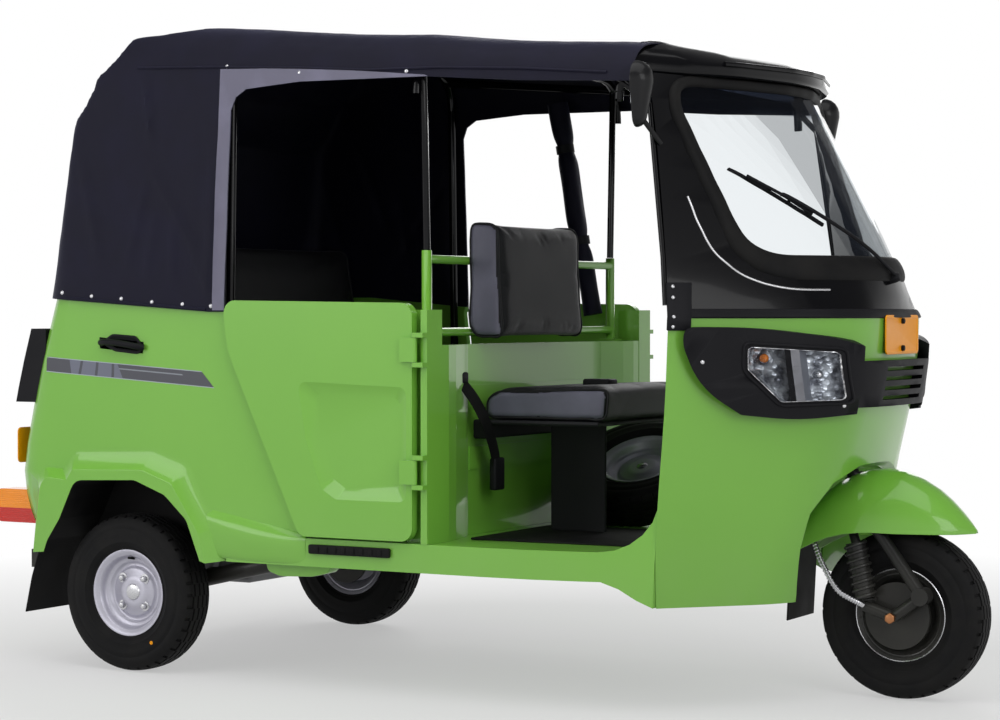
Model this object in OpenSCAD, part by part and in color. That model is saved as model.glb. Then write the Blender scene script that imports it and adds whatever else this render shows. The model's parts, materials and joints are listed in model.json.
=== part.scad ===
// Auto rickshaw: a three-wheeled passenger vehicle with a fabric canopy.
// Lengths are in millimetres: x runs forward, y to the left and z up from the ground.
// Pieces are drawn with the rear axle at x = 0, and from_rear_axle() sets them on the vehicle's middle.

/* [Overall] */
// Distance from the rear axle to the front axle
wheelbase = 1985; // [1960:5:2010]
// Distance between the middles of the rear tyres
rear_track = 1108; // [1090:2:1116]
// Reach of the tail lamps behind the rear axle
rear_overhang = 450; // [440:2:470]
// Width over the side panels
body_w = 1260; // [1252:2:1280]
// Height of the roof's crown
roof_z = 1740; // [1720:5:1770]
// Height of the waist, where the panels end and the canopy begins
waist_z = 1015; // [1010:1:1025]
// Height of the cabin floor
floor_z = 390; // [384:1:396]
// Height of the lower edge of the sills
sill_z = 318; // [308:1:326]

/* [Wheels] */
// Tyre diameter
tyre_d = 425; // [415:1:432]
// Tyre width
tyre_w = 113; // [104:1:118]
// Diameter of the rim's bead seat
bead_d = 203; // [199:1:206]
// Diameter of the rear stub axles
rear_axle_d = 30; // [24:1:36]
// Diameter of the front axle
front_axle_d = 20; // [16:1:24]

/* [Steering] */
// Lean of the steering axis from the vertical
rake = 25; // [24:0.5:26]
// Lead of the steering axis over the front axle, at axle height
axis_lead = 20; // [10:1:30]
// Diameter of the steering stem
stem_d = 34; // [30:1:38]
// Length of the handlebar
bar_l = 600; // [560:10:620]

/* [Panels] */
// Thickness of the pressed body walls
wall_t = 22; // [18:1:26]
// Thickness of the doors
door_t = 26; // [22:1:28]
// How far the doors stand out from the side panels
door_proud = 20; // [16:1:24]
// How far the wheel arch flares stand out from the side panels
flare_proud = 35; // [28:1:40]
// Thickness of the floor sheet
floor_t = 12; // [8:1:16]
// Thickness of the canopy's cloth and lining
canopy_t = 8; // [6:1:12]

/* [Fits] */
// Gap round doors, lids and other moving panels
panel_gap = 6; // [5:0.5:8]
// Gap between pieces that are fastened together
seat_gap = 0.3; // [0.1:0.1:0.5]
// Radial running clearance of the wheels and the steering stem
run_gap = 0.05; // [0.02:0.01:0.1]

/* [Tubes] */
// Diameter of the canopy hoops and posts
bow_d = 24; // [20:1:28]
// Diameter of the seat posts and rails
post_d = 26; // [20:1:30]
// Bore of the towing eye
tow_bore_d = 24; // [18:1:30]

/* [Hidden] */

green = [0.43, 0.72, 0.25];
black = [0.05, 0.05, 0.06];
rubber = [0.1, 0.1, 0.1];
silver = [0.72, 0.72, 0.78];
vinyl = [0.12, 0.13, 0.2];
pale = [0.62, 0.62, 0.72];
amber = [0.95, 0.6, 0.1];
glass = [0.75, 0.85, 0.9, 0.5];

tyre_r = tyre_d / 2;
half_w = body_w / 2;
rear_y = rear_track / 2;
mid_x = (wheelbase + tyre_r - rear_overhang) / 2;
// The front is drawn for this wheelbase, and moves with the front axle
drawn_wheelbase = 1985;
cowl_x = wheelbase - drawn_wheelbase;
door_y = half_w + door_proud;

// Longer than any cut needs
far = 3000;

module from_rear_axle() { translate([-mid_x, 0, 0]) children(); }
module both_sides() { children(); mirror([0, 1, 0]) children(); }
// A shell that is cut as one smooth mesh
module moulded() { resize([0, 0, 0]) children(); }
// A side view outline, drawn as [x, z], made as wide as y1 to y2
module across(y1, y2) { translate([0, y2, 0]) rotate([90, 0, 0]) linear_extrude(y2 - y1) children(); }
// A front view outline, drawn as [y, z], made as long as x1 to x2
module along(x1, x2) { translate([x1, 0, 0]) rotate([90, 0, 90]) linear_extrude(x2 - x1) children(); }
module block(low, high) { translate(low) cube(high - low); }
// A round bar from a to b
module bar(a, b, d) {
    v = b - a;
    translate(a) rotate([0, acos(v[2] / norm(v)), atan2(v[1], v[0])]) cylinder(d = d, h = norm(v), $fn = 32);
}
module soften(r) { offset(r) offset(-r) children(); }

function unit(v) = v / norm(v);
function join(lists) = [for (l = lists) for (p = l) p];
function flip(l) = [for (i = [len(l) - 1:-1:0]) l[i]];
// A smooth row at share t between b and c
function between(a, b, c, d, t) =
    b + (c - a) * t / 2 + (2 * a - 5 * b + 4 * c - d) * t * t / 2 + (3 * b - a - 3 * c + d) * t * t * t / 2;
function smooth(rows, k) = let (last = len(rows) - 1) concat([for (i = [0:last - 1]) for (j = [0:k - 1])
    between(rows[max(i - 1, 0)], rows[i], rows[i + 1], rows[min(i + 2, last)], j / k)], [rows[last]]);
// A corner at b, rounded over the length s of both legs
function bend(a, b, c, s, n) = let (p = b + unit(a - b) * s, q = b + unit(c - b) * s)
    [for (i = [0:n]) let (t = i / n) (1 - t) * (1 - t) * p + 2 * t * (1 - t) * b + t * t * q];
// The inward side of the line from a to b, for a body that points along x (dir 1) or against it (dir -1)
function inward(a, b, dir) = let (u = unit(b - a)) dir * [-u[1], u[0]];
// The point at share t of the way from the end c out to the corner b, along a parabola
function bow(b, c, t) = [c[0] + (b[0] - c[0]) * t * t, b[1] * t];
// One level of a rounded bow or stern, seen from above and set in by d
// level = [z, edge x, edge half width, corner x, corner half width, end x]
function level_plan(l, d, dir, s, n) =
    let (a = [l[1], -l[2]], b = [l[3], -l[4]], c = [l[5], 0], m = inward(a, b, dir), k = inward(b, c, dir),
        b2 = b + d * (m + k) / (1 + m * k), a2 = [l[1], -l[2] + d / m[1]], c2 = [l[5] - dir * d, 0],
        right = concat([a2], bend(a2, b2, bow(b2, c2, 0.5), s, n), [bow(b2, c2, 0.25), c2]))
    concat(right, [for (p = flip([for (i = [0:len(right) - 2]) right[i]])) [p[0], -p[1]]]);
function raise(points, z) = [for (p = points) [p[0], p[1], z]];
// Closed loops of points, each as long as the first, skinned into a solid.
// A walled loop runs out along one side of a wall and back along the other.
module skin(loops, walled) {
    n = len(loops[0]);
    rows = len(loops);
    last = (rows - 1) * n;
    ring = [for (i = [0:rows - 2]) for (j = [0:n - 1]) let (a = i * n + j, b = i * n + (j + 1) % n)
        each [[a, a + n, b + n], [a, b + n, b]]];
    caps = walled ? [for (j = [0:n / 2 - 2]) each [[j, j + 1, n - 2 - j, n - 1 - j],
        [last + n - 1 - j, last + n - 2 - j, last + j + 1, last + j]]]
        : [[for (j = [0:n - 1]) j], [for (j = [n - 1:-1:0]) last + j]];
    polyhedron(join(loops), concat(ring, caps));
}
// A wall that follows the levels, from d1 to d2 inside them
module level_wall(levels, d1, d2, dir, s, n, k) {
    skin([for (l = smooth(levels, k))
        let (loop = concat(level_plan(l, d1, dir, s, n), flip(level_plan(l, d2, dir, s, n))))
        raise(dir > 0 ? loop : flip(loop), l[0])], true);
}
module level_solid(levels, d, dir, s, n, k) {
    skin([for (l = smooth(levels, k)) let (loop = level_plan(l, d, dir, s, n))
        raise(dir > 0 ? loop : flip(loop), l[0])], false);
}
// A round tube along a route of points, with its seam towards ref
module tube(route, d, n, ref) {
    last = len(route) - 1;
    skin([for (i = [0:last]) let (v = unit(route[min(i + 1, last)] - route[max(i - 1, 0)]),
        side = unit(ref - (ref * v) * v), up = cross(v, side))
        [for (j = [0:n - 1]) route[i] + d / 2 * (cos(360 * j / n) * side + sin(360 * j / n) * up)]], false);
}

// Tail: levels of the rear body, from the sills to the waist
tail_bend = 90;
tail_levels = [for (r = [[sill_z, 8, -300], [420, 2, -345], [533, 0, -369], [690, 0, -340], [837, 0, -304],
    [waist_z, 0, -250]]) [r[0], 600, half_w - r[1], r[2], half_w - r[1], r[2] - 12]];
quarter_y = 430;
lid_half_w = 380;
lid_z1 = 430;
lid_z2 = 962;
lid_hinge_x = -302;
lid_hinge_z = lid_z2 + panel_gap / 2;
lid_hinge_ys = [-250, 190];
arch_z = 258;
flare_taper = 0.95;
house_y = 470;
house_t = 6;

// Doors: the outline from the upper rear corner round to the lower one
door_x1 = 351;
door_x2 = 928;
door_z1 = floor_z + panel_gap;
door_z2 = waist_z - 15;
door_belt_z = 870;
door_foot_x = 590;
door_round = 34;
door_outline = [[door_x1, door_z2], [door_x1 + 16, door_belt_z], [door_foot_x, door_z1], [door_x2, door_z1],
    [door_x2, door_z2 - 8]];
hinge_d = 14;
pin_d = 8;
knuckle_gap = 1;
knuckle_l = 12;
hinge_x = door_x2 + hinge_d / 2 + 2;
hinge_y = door_y + 3;
hinge_zs = [540, 845];
hinge_l = 60;
// A hinge along z: the moving knuckle, or the fixed pin with a knuckle at each end
module hinge_barrel() {
    difference() {
        cylinder(d = hinge_d, h = hinge_l);
        translate([0, 0, -1]) cylinder(d = pin_d + 2 * run_gap, h = hinge_l + 2);
    }
}
module hinge_pin() {
    end = knuckle_l + knuckle_gap;
    translate([0, 0, -end]) cylinder(d = pin_d, h = hinge_l + 2 * end);
    for (z = [-end, hinge_l + knuckle_gap]) translate([0, 0, z]) cylinder(d = hinge_d, h = knuckle_l);
}
module hinge_ends() {
    for (z = [-knuckle_l - knuckle_gap, hinge_l + knuckle_gap]) translate([0, 0, z]) children();
}

// Partition behind the driver
part_x = 905;
part_t = 15;
part_z = 886;
part_rib_zs = [560, 720];
b_post_z = 975;
b_post_x2 = part_x + 60;
// Width of the swelling that leads from the post to the partition's face
b_post_w = 250;

// Canopy, whose rear curve is drawn for this height of the roof
drawn_roof_z = 1740;
roof_up = roof_z - drawn_roof_z;
roof_fall = 0.085;
canopy_x1 = -265 - seat_gap - canopy_t;
visor_x = 1480 + cowl_x;
canopy_x2 = visor_x - seat_gap;
canopy_crown_x = 246;
canopy_hem_z = 1008;
skirt_z = canopy_hem_z - 38;
skirt_x = 349;
canopy_side = half_w + seat_gap + canopy_t;
shoulder_in = 46;

// Cowl: levels of the green lower shell and the black upper shell
// columns: z, edge x, edge half width, corner x, corner half width, nose x
cowl_s = 110;
cowl_split_z = 955;
cowl_wall = 24;
lower_levels = [for (r = [[256, 1551, 548, 1800, 290, 1815], [360, 1556, 562, 1830, 285, 1845],
    [480, 1566, 574, 1862, 275, 1880], [600, 1577, 579, 1890, 262, 1908], [724, 1588, 581, 1922, 250, 1942],
    [840, 1594, 581, 1943, 243, 1963], [cowl_split_z, 1598, 580, 1950, 240, 1970]])
    r + cowl_x * [0, 1, 0, 1, 0, 1]];
upper_levels = [for (r = [[cowl_split_z + seat_gap, 1598, 578, 1948, 240, 1968],
    [1085, 1588, 570, 1868, 245, 1938], [1240, 1572, 562, 1784, 275, 1856],
    [1400, 1552, 552, 1690, 305, 1770], [1545, 1527, 540, 1602, 335, 1690]])
    r + cowl_x * [0, 1, 0, 1, 0, 1]];
visor_levels = [for (r = [[1545 + seat_gap, 548, 1622, 375, 1722], [1575, 548, 1626, 375, 1728],
    [1606, 530, 1585, 370, 1670], [1628, 490, 1530, 340, 1590], [1638, 420, 1505, 300, 1530]])
    [r[0], visor_x, r[1], r[2] + cowl_x, r[3], r[4] + cowl_x]];

// Steering: places along the axis are measured from the front axle's height
axis_x = wheelbase + axis_lead;
arch_top = 385;
sweep_r = 312;
head_a1 = 430;
head_a2 = 640;
head_d = 62;
bar_a = 900;
bar_d = 26;
grip_l = 110;
axle_half = 112;
module on_steering_axis() { translate([axis_x, 0, tyre_r]) rotate([0, -rake, 0]) children(); }
function axis_point(r, y, a) =
    [axis_x + r * cos(rake) - a * sin(rake), y, tyre_r + a * cos(rake) + r * sin(rake)];
// Space that the turning wheel, fender and mudflap need, grown by g
module front_sweep(g) {
    on_steering_axis() rotate_extrude($fn = 64) polygon([[0, -400], [sweep_r + g, -400], [sweep_r + g, 100],
        [300 + g, 240], [280 + g * 0.9, 310 + g * 0.4], [220 + g * 0.6, 360 + g * 0.8], [120, arch_top - 2 + g],
        [0, arch_top + g]]);
}

cross_l = 40;
rail_y1 = 300;
rail_y2 = 340;
rail_x1 = -240;
rail_x2 = 1480 + cowl_x;
rail_z2 = floor_z - floor_t - seat_gap;
cross_xs = [rail_x1, 500, 900, rail_x2 - cross_l];
// Tube that carries the steering head
spine = [[rail_x2 - 20, 0, 350], [rail_x2 - 10, 0, 430], [rail_x2 + 50, 0, 515],
    axis_point(-20, 0, head_a1 + 60)];
spine_d = 60;
tow_x = -285;
tow_t = 12;
tow_half = tow_bore_d / 2 + 16;

module chassis_frame() {
    color(black) from_rear_axle() {
        difference() {
            union() {
                both_sides() block([rail_x1, rail_y1, sill_z], [rail_x2, rail_y2, rail_z2]);
                for (x = cross_xs) block([x, -rail_y1 - 1, sill_z], [x + cross_l, rail_y1 + 1, rail_z2]);
                translate([tow_x, 0, sill_z - tow_t]) cylinder(r = tow_half, h = tow_t);
                block([tow_x, -tow_half, sill_z - tow_t], [rail_x1 + cross_l, tow_half, sill_z]);
                on_steering_axis() translate([0, 0, head_a1]) cylinder(d = head_d, h = head_a2 - head_a1);
                for (i = [0:len(spine) - 2]) bar(spine[i], spine[i + 1], spine_d);
                for (i = [1:len(spine) - 2]) translate(spine[i]) sphere(d = spine_d + 4);
            }
            translate([tow_x, 0, sill_z - tow_t - 1]) cylinder(d = tow_bore_d, h = tow_t + 2);
            on_steering_axis() translate([0, 0, head_a1 - 1])
                cylinder(d = stem_d + 2 * run_gap, h = head_a2 - head_a1 + 2);
        }
    }
}

floor_x1 = 545;
floor_x2 = 1640;
sill_x2 = 1551 + cowl_x - seat_gap;
toe_half = 400;
// The sills' rear end, how far they reach in, and the round where they rise to the cowl
sill_x1 = 352;
sill_in = 40;
sill_out = half_w + 6;
sill_round = 150;
floor_half = half_w - wall_t - 2;
// The sills from above: the front end turns in to the cowl's edge
cowl_foot = 564;
sill_turn = 370;
sill_plan = [[sill_x1, floor_half - sill_in], [sill_x2 - sill_turn, floor_half - sill_in],
    [sill_x2, cowl_foot - 48], [sill_x2 + 40, cowl_foot - 48], [sill_x2 + 40, cowl_foot], [sill_x2, cowl_foot],
    [sill_x2 - 70, cowl_foot + 18], [sill_x2 - 170, sill_out - 28], [sill_x2 - 300, sill_out - 7],
    [sill_x2 - 430, sill_out], [sill_x1, sill_out]];
// The sills from the side: the front end follows the cowl's edge
function cowl_edge(z) = [lookup(z, [for (l = lower_levels) [l[0], l[1]]]) - 4 * seat_gap, z];
function sill_side() = let (low = lower_levels[0][0] + 2, top = floor_z + sill_round, end = cowl_edge(top))
    concat([[sill_x1, sill_z], [sill_x2 - 125, sill_z], [sill_x2 - 82, 302], [sill_x2 - 40, 276]],
        [for (z = [low, 360, 450]) cowl_edge(z)],
        [for (a = [0:-15:-90]) end + sill_round * [cos(a) - 1, sin(a)]], [[sill_x1, floor_z]]);
riser_half = floor_half - 8;
seat_riser_z = 628;
seat_shelf_x1 = -150;
module floor_pan() {
    color(green) from_rear_axle() moulded() {
        difference() {
            union() {
                translate([0, 0, floor_z - floor_t]) linear_extrude(floor_t)
                    polygon([[floor_x1, -floor_half], [sill_x2 - sill_turn, -floor_half],
                        [sill_x2 - 1, 30 - cowl_foot], [sill_x2 - 1, cowl_foot - 30],
                        [sill_x2 - sill_turn, floor_half], [floor_x1, floor_half]]);
                block([sill_x2 - 2, -toe_half, floor_z - floor_t], [floor_x2 + cowl_x, toe_half, floor_z]);
                both_sides() intersection() {
                    across(0, far) polygon(sill_side());
                    linear_extrude(far) polygon(sill_plan);
                }
                block([floor_x1, -riser_half, floor_z - 1], [floor_x1 + floor_t, riser_half, seat_riser_z]);
                block([seat_shelf_x1, -riser_half, seat_riser_z - floor_t],
                    [floor_x1 + floor_t, riser_half, seat_riser_z]);
                intersection() {
                    front_sweep(8 + floor_t);
                    level_solid(lower_levels, cowl_wall + seat_gap, 1, cowl_s, 5, 2);
                    block([1500 + cowl_x, -330, floor_z - floor_t], [1846 + cowl_x, 330, 800]);
                }
            }
            front_sweep(8);
            on_steering_axis() cylinder(d = head_d + 20, h = 900, $fn = 32);
            for (i = [0:len(spine) - 2]) bar(spine[i], spine[i + 1], spine_d + 2);
            for (i = [1:len(spine) - 2]) translate(spine[i]) sphere(d = spine_d + 6, $fn = 32);
            door_opening(panel_gap);
        }
    }
}

module door_shape() {
    soften(door_round) polygon(door_outline);
}
// Room for both doors in the side panels
module door_opening(g) {
    both_sides() across(half_w - wall_t - 1, door_y + 20) offset(delta = g) door_shape();
}

module partition() {
    b_y = half_w - wall_t - 4;
    leaf_l = b_post_x2 - hinge_x;
    front = part_x + part_t;
    color(green) from_rear_axle() {
        block([part_x, -b_y, floor_z + seat_gap], [front, b_y, part_z]);
        both_sides() block([part_x - 20, b_y - 40, floor_z + seat_gap], [b_post_x2, b_y, b_post_z]);
        both_sides() translate([0, 0, floor_z + seat_gap]) linear_extrude(part_z - floor_z - seat_gap)
            polygon([[part_x + 1, b_y - 30], [part_x + 1, b_y - b_post_w], [front, b_y - b_post_w],
                [front + 12, b_y - b_post_w * 0.88], [b_post_x2 - 9, b_y - b_post_w * 0.5],
                [b_post_x2 - 1, b_y - b_post_w * 0.3], [b_post_x2 - 1, b_y - 30]]);
        both_sides() block([hinge_x + hinge_d / 2 + 2, b_y - 1, floor_z + seat_gap],
            [b_post_x2, half_w + 8, b_post_z]);
        both_sides() for (z = hinge_zs) translate([hinge_x, hinge_y, z]) {
            hinge_pin();
            hinge_ends() block([0, -hinge_d / 2, 0], [leaf_l, hinge_d / 2, knuckle_l]);
            hinge_ends() block([hinge_d, half_w - hinge_y, 0], [leaf_l, 0, knuckle_l]);
        }
        for (z = part_rib_zs)
            block([front - 1, b_post_w - b_y, z], [front + 4, b_y - b_post_w, z + 60]);
    }
}

// Wheel arch: its opening in the side panel, and the flare round it
arch_outline = [[-262, sill_z - 70], [-222, 350], [-180, 410], [-128, 516], [74, 523], [173, 487], [244, 424],
    [286, 321], [310, sill_z - 70]];
flare_outline = [[-290, sill_z - 70], [-286, 548], [-195, 545], [-150, 602], [124, 611], [238, 576],
    [296, 470], [330, 405], [350, sill_z - 70]];
arch_round = 40;
module arch_shape(g) { soften(arch_round) offset(delta = g) polygon(arch_outline); }
module quarter(y_sign) {
    color(green) from_rear_axle() moulded() scale([1, -y_sign, 1]) difference() {
        union() {
            intersection() {
                level_wall(tail_levels, 0, wall_t, -1, tail_bend, 4, 2);
                block([-500, -800, 0], [700, -quarter_y - seat_gap, 1200]);
            }
            intersection() {
                translate([0, -half_w + 4, arch_z]) rotate([90, 0, 0])
                    linear_extrude(flare_proud + 4, scale = flare_taper)
                        translate([0, -arch_z]) soften(arch_round) polygon(flare_outline);
                block([-far, -far, sill_z], [far, 0, far]);
            }
            intersection() {
                across(-half_w + 2, -house_y) arch_shape(house_t);
                block([-far, -far, sill_z], [far, 0, far]);
            }
        }
        across(-half_w - flare_proud - 5, -house_y - house_t) arch_shape(0);
        door_opening(panel_gap);
        block([sill_x1 - seat_gap, -far, 0], [far, -floor_half + sill_in + 2, floor_z + seat_gap]);
        across(-far, 0) polygon([[0, waist_z + 1], [door_x1 - panel_gap, skirt_z + 15], [far, skirt_z + 15],
            [far, far], [0, far]]);
    }
}
module quarter_right() { quarter(-1); }
module quarter_left() { quarter(1); }

module tail_window(g) {
    along(-600, 0) soften(30) translate([-lid_half_w - g, lid_z1 - g])
        square([2 * (lid_half_w + g), lid_z2 - lid_z1 + 2 * g]);
}
module tail_panel() {
    color(green) from_rear_axle() moulded() difference() {
        intersection() {
            level_wall(tail_levels, 0, wall_t, -1, tail_bend, 4, 2);
            block([-500, -quarter_y, 0], [0, quarter_y, 1200]);
        }
        tail_window(panel_gap);
    }
    color(green) from_rear_axle() at_lid_hinges() {
        hinge_pin();
        hinge_ends() block([0, panel_gap / 2, 0], [lid_leaf + 14, 30, knuckle_l]);
        hinge_ends() block([-hinge_d / 2, 0, 0], [0, 10, knuckle_l]);
        hinge_ends() block([-hinge_d / 2, 8, 0], [lid_leaf, 14, knuckle_l]);
    }
}
lid_leaf = 24;
// The lid's hinges, with their pins along y and x pointing forward
module at_lid_hinges() {
    for (y = lid_hinge_ys) translate([lid_hinge_x, y + hinge_l, lid_hinge_z]) rotate([90, 0, 0]) children();
}
module tail_lid() {
    color(green) from_rear_axle() {
        moulded() difference() {
            intersection() {
                level_wall(tail_levels, 0, wall_t, -1, tail_bend, 4, 2);
                tail_window(0);
            }
            for (i = [0:5]) along(-600, 0) soften(7) translate([-220, 620 + i * 36]) square([440, 15]);
        }
        at_lid_hinges() {
            hinge_barrel();
            difference() {
                block([0, -46, 0], [lid_leaf, 0, hinge_l]);
                translate([0, 0, -1]) cylinder(d = hinge_d - 1, h = hinge_l + 2);
            }
        }
    }
}

vent_z = [722, 924];
vent_pitch = 42;
vent_slot = 20;
module tail_vents() {
    color(black) from_rear_axle() both_sides() moulded() difference() {
        intersection() {
            level_wall(tail_levels, -44, -seat_gap, -1, tail_bend, 4, 2);
            along(-600, -150) soften(24) polygon([[quarter_y + 40, vent_z[0]], [half_w + 10, vent_z[0]],
                [half_w + 10, vent_z[1]], [quarter_y + 40, vent_z[1]]]);
            block([-600, quarter_y, 0], [-268, half_w - 18, 1200]);
        }
        for (i = [0:3]) translate([0, 0, vent_z[0] + 28 + i * vent_pitch])
            block([-600, quarter_y + 62, 0], [-336, half_w - 44, vent_slot]);
    }
}

bumper_x = [-356, -318];
bumper_z = [262, 312];
bumper_t = 4;
module rear_bumper() {
    color(black) from_rear_axle() {
        half = half_w - 60;
        difference() {
            block([bumper_x[0], -half, bumper_z[0]], [bumper_x[1], half, bumper_z[1]]);
            block([bumper_x[0] + bumper_t, -half + bumper_t, bumper_z[0] - 1],
                [bumper_x[1] - bumper_t, half - bumper_t, bumper_z[1] - bumper_t]);
        }
        both_sides() block([bumper_x[1] - 1, rail_y1 + 4, bumper_z[1] - 18],
            [rail_x1 + 60, rail_y2 - 4, sill_z - seat_gap]);
    }
}

lamp_y = 575;
lamp_w = 62;
lamp_z = [388, 480];
module tail_lamps() {
    color(amber) from_rear_axle() both_sides() moulded() difference() {
        intersection() {
            block([-rear_overhang, lamp_y - lamp_w / 2, lamp_z[0]], [-250, lamp_y + lamp_w / 2, lamp_z[1]]);
            across(0, far) soften(20) translate([-rear_overhang, lamp_z[0]])
                square([rear_overhang, lamp_z[1] - lamp_z[0]]);
        }
        level_solid(tail_levels, -seat_gap, -1, tail_bend, 4, 2);
    }
}

plate_w = 236;
plate_h = 98;
plate_t = 3;
plate_bolt_pitch = 160;
plate_bolt_d = 7;
front_plate_x = 1970.3 + cowl_x;
front_plate_z = 864;
rear_plate_y = -472;
rear_plate_z = 552;
module plate() {
    difference() {
        across(-plate_t / 2, plate_t / 2) translate([-plate_w / 2, 0]) square([plate_w, plate_h]);
        for (i = [-1, 1]) translate([i * plate_bolt_pitch / 2, 5, plate_h * 0.5]) rotate([90, 0, 0])
            cylinder(d = plate_bolt_d, h = 10);
    }
}
module number_plates() {
    color(amber) from_rear_axle() {
        translate([front_plate_x + plate_t / 2, 0, front_plate_z]) rotate([0, 0, 90]) plate();
        translate([-386, rear_plate_y, rear_plate_z]) rotate([0, 0, 90]) plate();
        moulded() difference() {
            translate([plate_t / 2 - 386, rear_plate_y - 20, rear_plate_z + 30]) cube([60, 40, 30]);
            level_solid(tail_levels, -seat_gap, -1, tail_bend, 4, 2);
        }
    }
}

flap_t = 5;
module rear_mudflaps() {
    color(rubber) from_rear_axle() both_sides() across(rear_y - 62, rear_y + 56)
        polygon([[-297, sill_z - seat_gap], [-297 + flap_t, sill_z - seat_gap], [-323 + flap_t, 240],
            [-346 + flap_t, 142], [-346, 142], [-323, 240]]);
}

// Trailing arms: pivot on the frame, and half widths of the arm's ends
arm_x = 560;
arm_z = 341;
arm_y1 = 419;
arm_y2 = 445;
hub_y = rear_y - 72;
stub_l = rear_y + 22 - hub_y;
engine_half = 195;
engine_x2 = 120;
engine_z = [205, 560];
damper_z = seat_riser_z - floor_t - seat_gap - 2;
module rear_suspension() {
    color(black) from_rear_axle() both_sides() {
        bar([arm_x, rail_y2 + seat_gap, arm_z], [arm_x, arm_y2 - 4, arm_z], 44);
        bar([arm_x, arm_y1, arm_z], [0, arm_y2, tyre_r], 46);
        translate([0, hub_y, tyre_r]) rotate([90, 0, 0]) cylinder(d = 74, h = 50);
        translate([0, hub_y - 1, tyre_r]) rotate([-90, 0, 0]) cylinder(d = rear_axle_d, h = stub_l + 1);
        translate([0, hub_y - 1, tyre_r]) rotate([-90, 0, 0]) cylinder(r = 78, h = 9);
        bar([0, engine_half + 4 * seat_gap, tyre_r + 20], [0, hub_y - 30, tyre_r + 2], 30);
        bar([70, arm_y1 - 4, tyre_r + 30], [90, arm_y1 - 4, damper_z], 40);
    }
}

module engine_block() {
    color("dimgray") from_rear_axle() {
        block([rail_x1 + cross_l + seat_gap, -engine_half, engine_z[0]],
            [engine_x2, engine_half, engine_z[1]]);
    }
}

bench_half = half_w - wall_t - bow_d - 18;
bench_z = seat_riser_z + seat_gap;
bench_round = 30;
module passenger_seat() {
    color(black) from_rear_axle() {
        across(-bench_half, bench_half) soften(bench_round)
            polygon([[90, bench_z], [600, bench_z], [604, 750], [90, 735]]);
        across(-bench_half, bench_half) soften(bench_round)
            polygon([[84, bench_z], [-60, bench_z], [-120, 1180], [-20, 1180]]);
    }
}

post_x = 893;
post_y = 519;
post_z = 1126;
rail_zs = [918, 1104];
seat_x = [944, 1316];
// The driver's seat stands to the right of the middle
seat_y = [-345, 150];
seat_z = [690, 778];
back_z = [892, 1215];
back_x = post_x + post_d / 2 - 2 + seat_gap;
module driver_seat() {
    color(black) from_rear_axle() {
        across(seat_y[0], seat_y[1]) soften(24) polygon([[seat_x[0], seat_z[0] + seat_gap],
            [seat_x[1], seat_z[0] + seat_gap], [seat_x[1] + 8, seat_z[1]], [seat_x[0] + 30, seat_z[1] - 14],
            [seat_x[0], seat_z[1] - 40]]);
        across(seat_y[0], seat_y[1]) soften(18) polygon([[back_x, back_z[0] + 38], [back_x + 16, back_z[0]],
            [back_x + 104, back_z[0]], [back_x + 88, back_z[1] - 7], [back_x, back_z[1]]]);
    }
}
// Stand under the driver's seat: a pan on a rail at the partition and a flanged leg
pan_t = 12;
pan_y = [seat_y[0] + pan_t, seat_y[1] - pan_t];
leg_x = [1052, 1215];
leg_y = [-150, -60];
module seat_stand() {
    back = part_x + part_t + seat_gap;
    leg_z = floor_z + seat_gap;
    color("dimgray") from_rear_axle() {
        block([back, pan_y[0], seat_z[0] - pan_t], [seat_x[1] - 30, pan_y[1], seat_z[0]]);
        block([back, pan_y[0], seat_z[0] - 50], [back + 40, pan_y[1], seat_z[0]]);
        block([leg_x[0], leg_y[0], leg_z], [leg_x[1], leg_y[0] + pan_t, seat_z[0]]);
        block([leg_x[0], leg_y[0], leg_z], [leg_x[0] + pan_t, leg_y[1], seat_z[0]]);
    }
}

foot_w = 50;
module seat_frame() {
    color(green) from_rear_axle() {
        both_sides() translate([post_x, post_y, part_z + seat_gap]) {
            cylinder(d = post_d, h = post_z - part_z - seat_gap);
            translate([-foot_w / 2, -foot_w / 2, 0]) cube([foot_w, foot_w, 6]);
        }
        for (z = rail_zs) bar([post_x, -post_y, z], [post_x, post_y, z], post_d - 4);
    }
}

// Roof line and the canopy's outer form, set in by d
function roof_at(x) = roof_z - roof_fall * (x - canopy_crown_x);
module canopy_form(d) {
    intersection() {
        across(-far, far) offset(delta = -d) polygon([[canopy_x1, 900], [canopy_x1 + 4, 1300],
            [-212, 1484 + roof_up], [-118, 1610 + roof_up], [-20, 1712 + roof_up], [110, roof_z - 2],
            [canopy_crown_x, roof_z], [canopy_x2 + 100, roof_at(canopy_x2 + 100)], [canopy_x2 + 100, 900]]);
        multmatrix([[1, 0, 0, 0], [0, 1, 0, 0], [-roof_fall, 0, 1, roof_fall * canopy_crown_x], [0, 0, 0, 1]])
            along(-400, canopy_x2 + 200) offset(delta = -d) polygon(concat([[-canopy_side, 700],
                [canopy_side, 700], [canopy_side, 1020]], shoulder_right,
                flip([for (p = shoulder_right) [-p[0], p[1]]]), [[-canopy_side, 1020]]));
        linear_extrude(far) offset(delta = -d) soften(90) translate([canopy_x1, -canopy_side])
            square([canopy_x2 + 300 - canopy_x1, 2 * canopy_side]);
    }
}
shoulder = [canopy_side - shoulder_in, roof_z - 18];
shoulder_right = concat(bend([canopy_side, 1020], shoulder, [0, roof_z + 26], 120, 6), [[0, roof_z + 26]]);
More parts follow.
